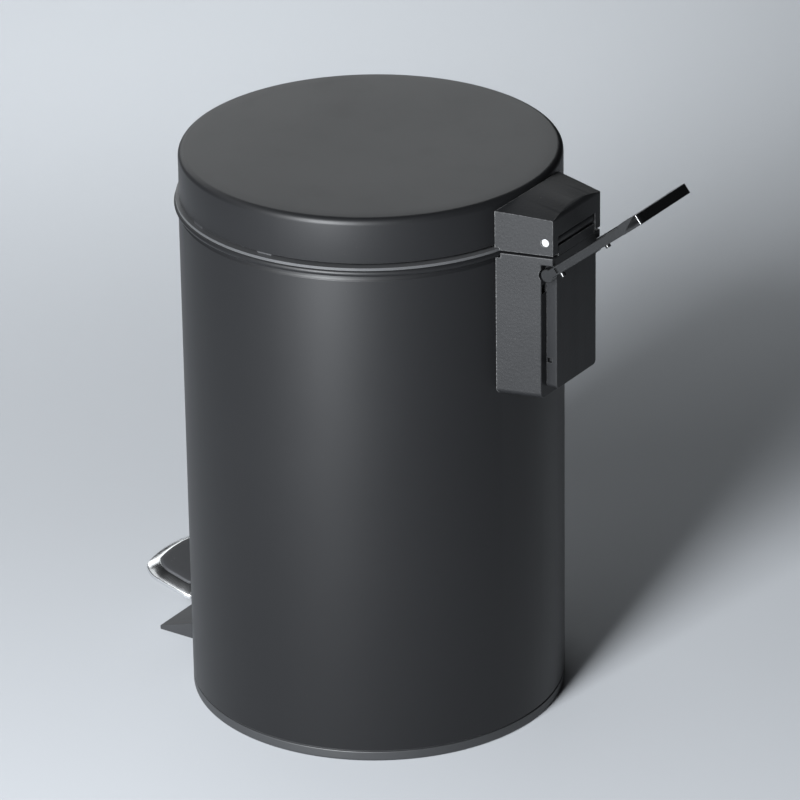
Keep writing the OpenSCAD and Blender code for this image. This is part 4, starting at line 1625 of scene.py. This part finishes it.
@dataclass
class Studio:
    """Camera, soft lamps and a wide pale floor."""

    azimuth: float = 123.7
    elevation: float = 25.09
    roll: float = -0.838
    distance: float = 2.427911
    lens: float = 243.916
    sensor: float = 36.0
    aim_right: float = 0.011277
    aim_up: float = 0.137376
    lamps: tuple[SoftBox, ...] = (
        SoftBox("key_box", 29, 29, 1.7, 0.5, 0.6, 58.0, (0.95, 0.975, 1.0)),
        SoftBox("low_box", 25, 7, 1.7, 0.4, 0.4, 54.0, (0.94, 0.97, 1.0)),
        SoftBox("side_box", 92, 42, 1.5, 1.3, 0.9, 3.0, (0.95, 0.98, 1.0)),
        SoftBox("back_box", 160, 27, 1.6, 1.7, 1.0, 8.5, (0.95, 0.98, 1.0)),
        SoftBox("far_box", 168, 32, 0.89, 0.7, 0.5, 4.8, (0.95, 0.98, 1.0), 1.4, 0.0),
    )
    ambient: float = 0.02
    floor_colour: Colour = (0.38, 0.393, 0.412)

    def right(self) -> Vector:
        """Gives the camera's level direction to the right."""
        turn = math.radians(self.azimuth)
        return Vector((math.cos(turn), math.sin(turn), 0.0))

    def toward(self, bearing: float, rise: float) -> Vector:
        """Gives a direction from the bin.

        Args:
            bearing: Degrees to the left of the camera.
            rise: Degrees above the floor.

        Returns:
            The unit direction.
        """
        turn = math.radians(self.azimuth - bearing)
        level = Vector((math.sin(turn), -math.cos(turn), 0.0)) * math.cos(math.radians(rise))
        return level + Vector((0.0, 0.0, math.sin(math.radians(rise))))

    def camera(self) -> None:
        """Makes the camera."""
        data = bpy.data.cameras.new("camera")
        data.lens = self.lens
        data.sensor_width = self.sensor
        data.clip_start, data.clip_end = 0.05, 30.0
        camera = bpy.data.objects.new("camera", data)
        back = self.toward(0.0, self.elevation)
        right = self.right()
        up = right.cross(-back)
        turn = math.radians(self.roll)
        x_axis = right * math.cos(turn) + up * math.sin(turn)
        y_axis = up * math.cos(turn) - right * math.sin(turn)
        place = right * self.aim_right + Vector((0, 0, self.aim_up)) + back * self.distance
        camera.matrix_world = Matrix.Translation(place) @ Matrix(
            (x_axis, y_axis, back)).transposed().to_4x4()
        bpy.context.scene.collection.objects.link(camera)
        bpy.context.scene.camera = camera

    def lights(self) -> None:
        """Makes the soft lamps and the even light of the room."""
        for box in self.lamps:
            data = bpy.data.lights.new(box.name, "AREA")
            data.shape = "RECTANGLE"
            data.size, data.size_y = box.width, box.height
            data.energy = box.power
            data.color = box.colour
            lamp = bpy.data.objects.new(box.name, data)
            way = self.toward(box.bearing, box.rise)
            lamp.location = Vector((0, 0, 0.13)) + way * box.distance
            lamp.rotation_mode = "QUATERNION"
            target = self.toward(box.bearing, 0.0) * box.faces + Vector((0, 0, box.faces_z))
            aim = target - lamp.location
            lamp.rotation_quaternion = aim.to_track_quat("-Z", "Y")
            bpy.context.scene.collection.objects.link(lamp)
        world = bpy.data.worlds.new("room")
        world.use_nodes = True
        world.node_tree.nodes["Background"].inputs["Color"].default_value = (
            0.93, 0.96, 1.0, 1.0)
        world.node_tree.nodes["Background"].inputs["Strength"].default_value = self.ambient
        bpy.context.scene.world = world

    def floor(self) -> None:
        """Makes the floor, a wide disc so that it reads the same from every side."""
        bm = bmesh.new()
        bmesh.ops.create_circle(bm, cap_ends=True, segments=96, radius=9.0)
        floor = finished("studio_floor", bm)
        material = bpy.data.materials.new("pale_paper")
        material.use_nodes = True
        sheet = Sheet(material.node_tree)
        shader = material.node_tree.nodes["Principled BSDF"]
        shader.inputs["Base Color"].default_value = (*self.floor_colour, 1.0)
        shader.inputs["Roughness"].default_value = 0.85
        shader.inputs["Specular IOR Level"].default_value = 0.2
        place = sheet.add("ShaderNodeTexCoord").outputs["Object"]
        bump = sheet.add("ShaderNodeBump", Distance=0.00004)
        sheet.join(sheet.noise(1500.0, 2.0, place), bump.inputs["Height"])
        sheet.join(bump.outputs[0], shader.inputs["Normal"])
        floor.data.materials.append(material)

    def build(self) -> None:
        """Makes the whole studio."""
        self.camera()
        self.lights()
        self.floor()
        view = bpy.context.scene.view_settings
        view.view_transform = "Standard"
        view.look = "None"
        view.exposure = 0.0
        view.gamma = 1.0


def main() -> None:
    """Builds the studio and then each sub-assembly."""
    logging.basicConfig(level=logging.INFO, format="%(name)s: %(message)s")
    Studio().build()
    shop = Paintshop()
    shop.dress_cad_nodes()
    housing = HingeHousing()
    for assembly in (CanShell(), LidCap(), housing, HingeCap(housing), CarryHandle(),
                     Pedal(), BaseRing()):
        assembly.build(shop)
        LOG.info("built %s", type(assembly).__name__)


if __name__ == "__main__":
    main()
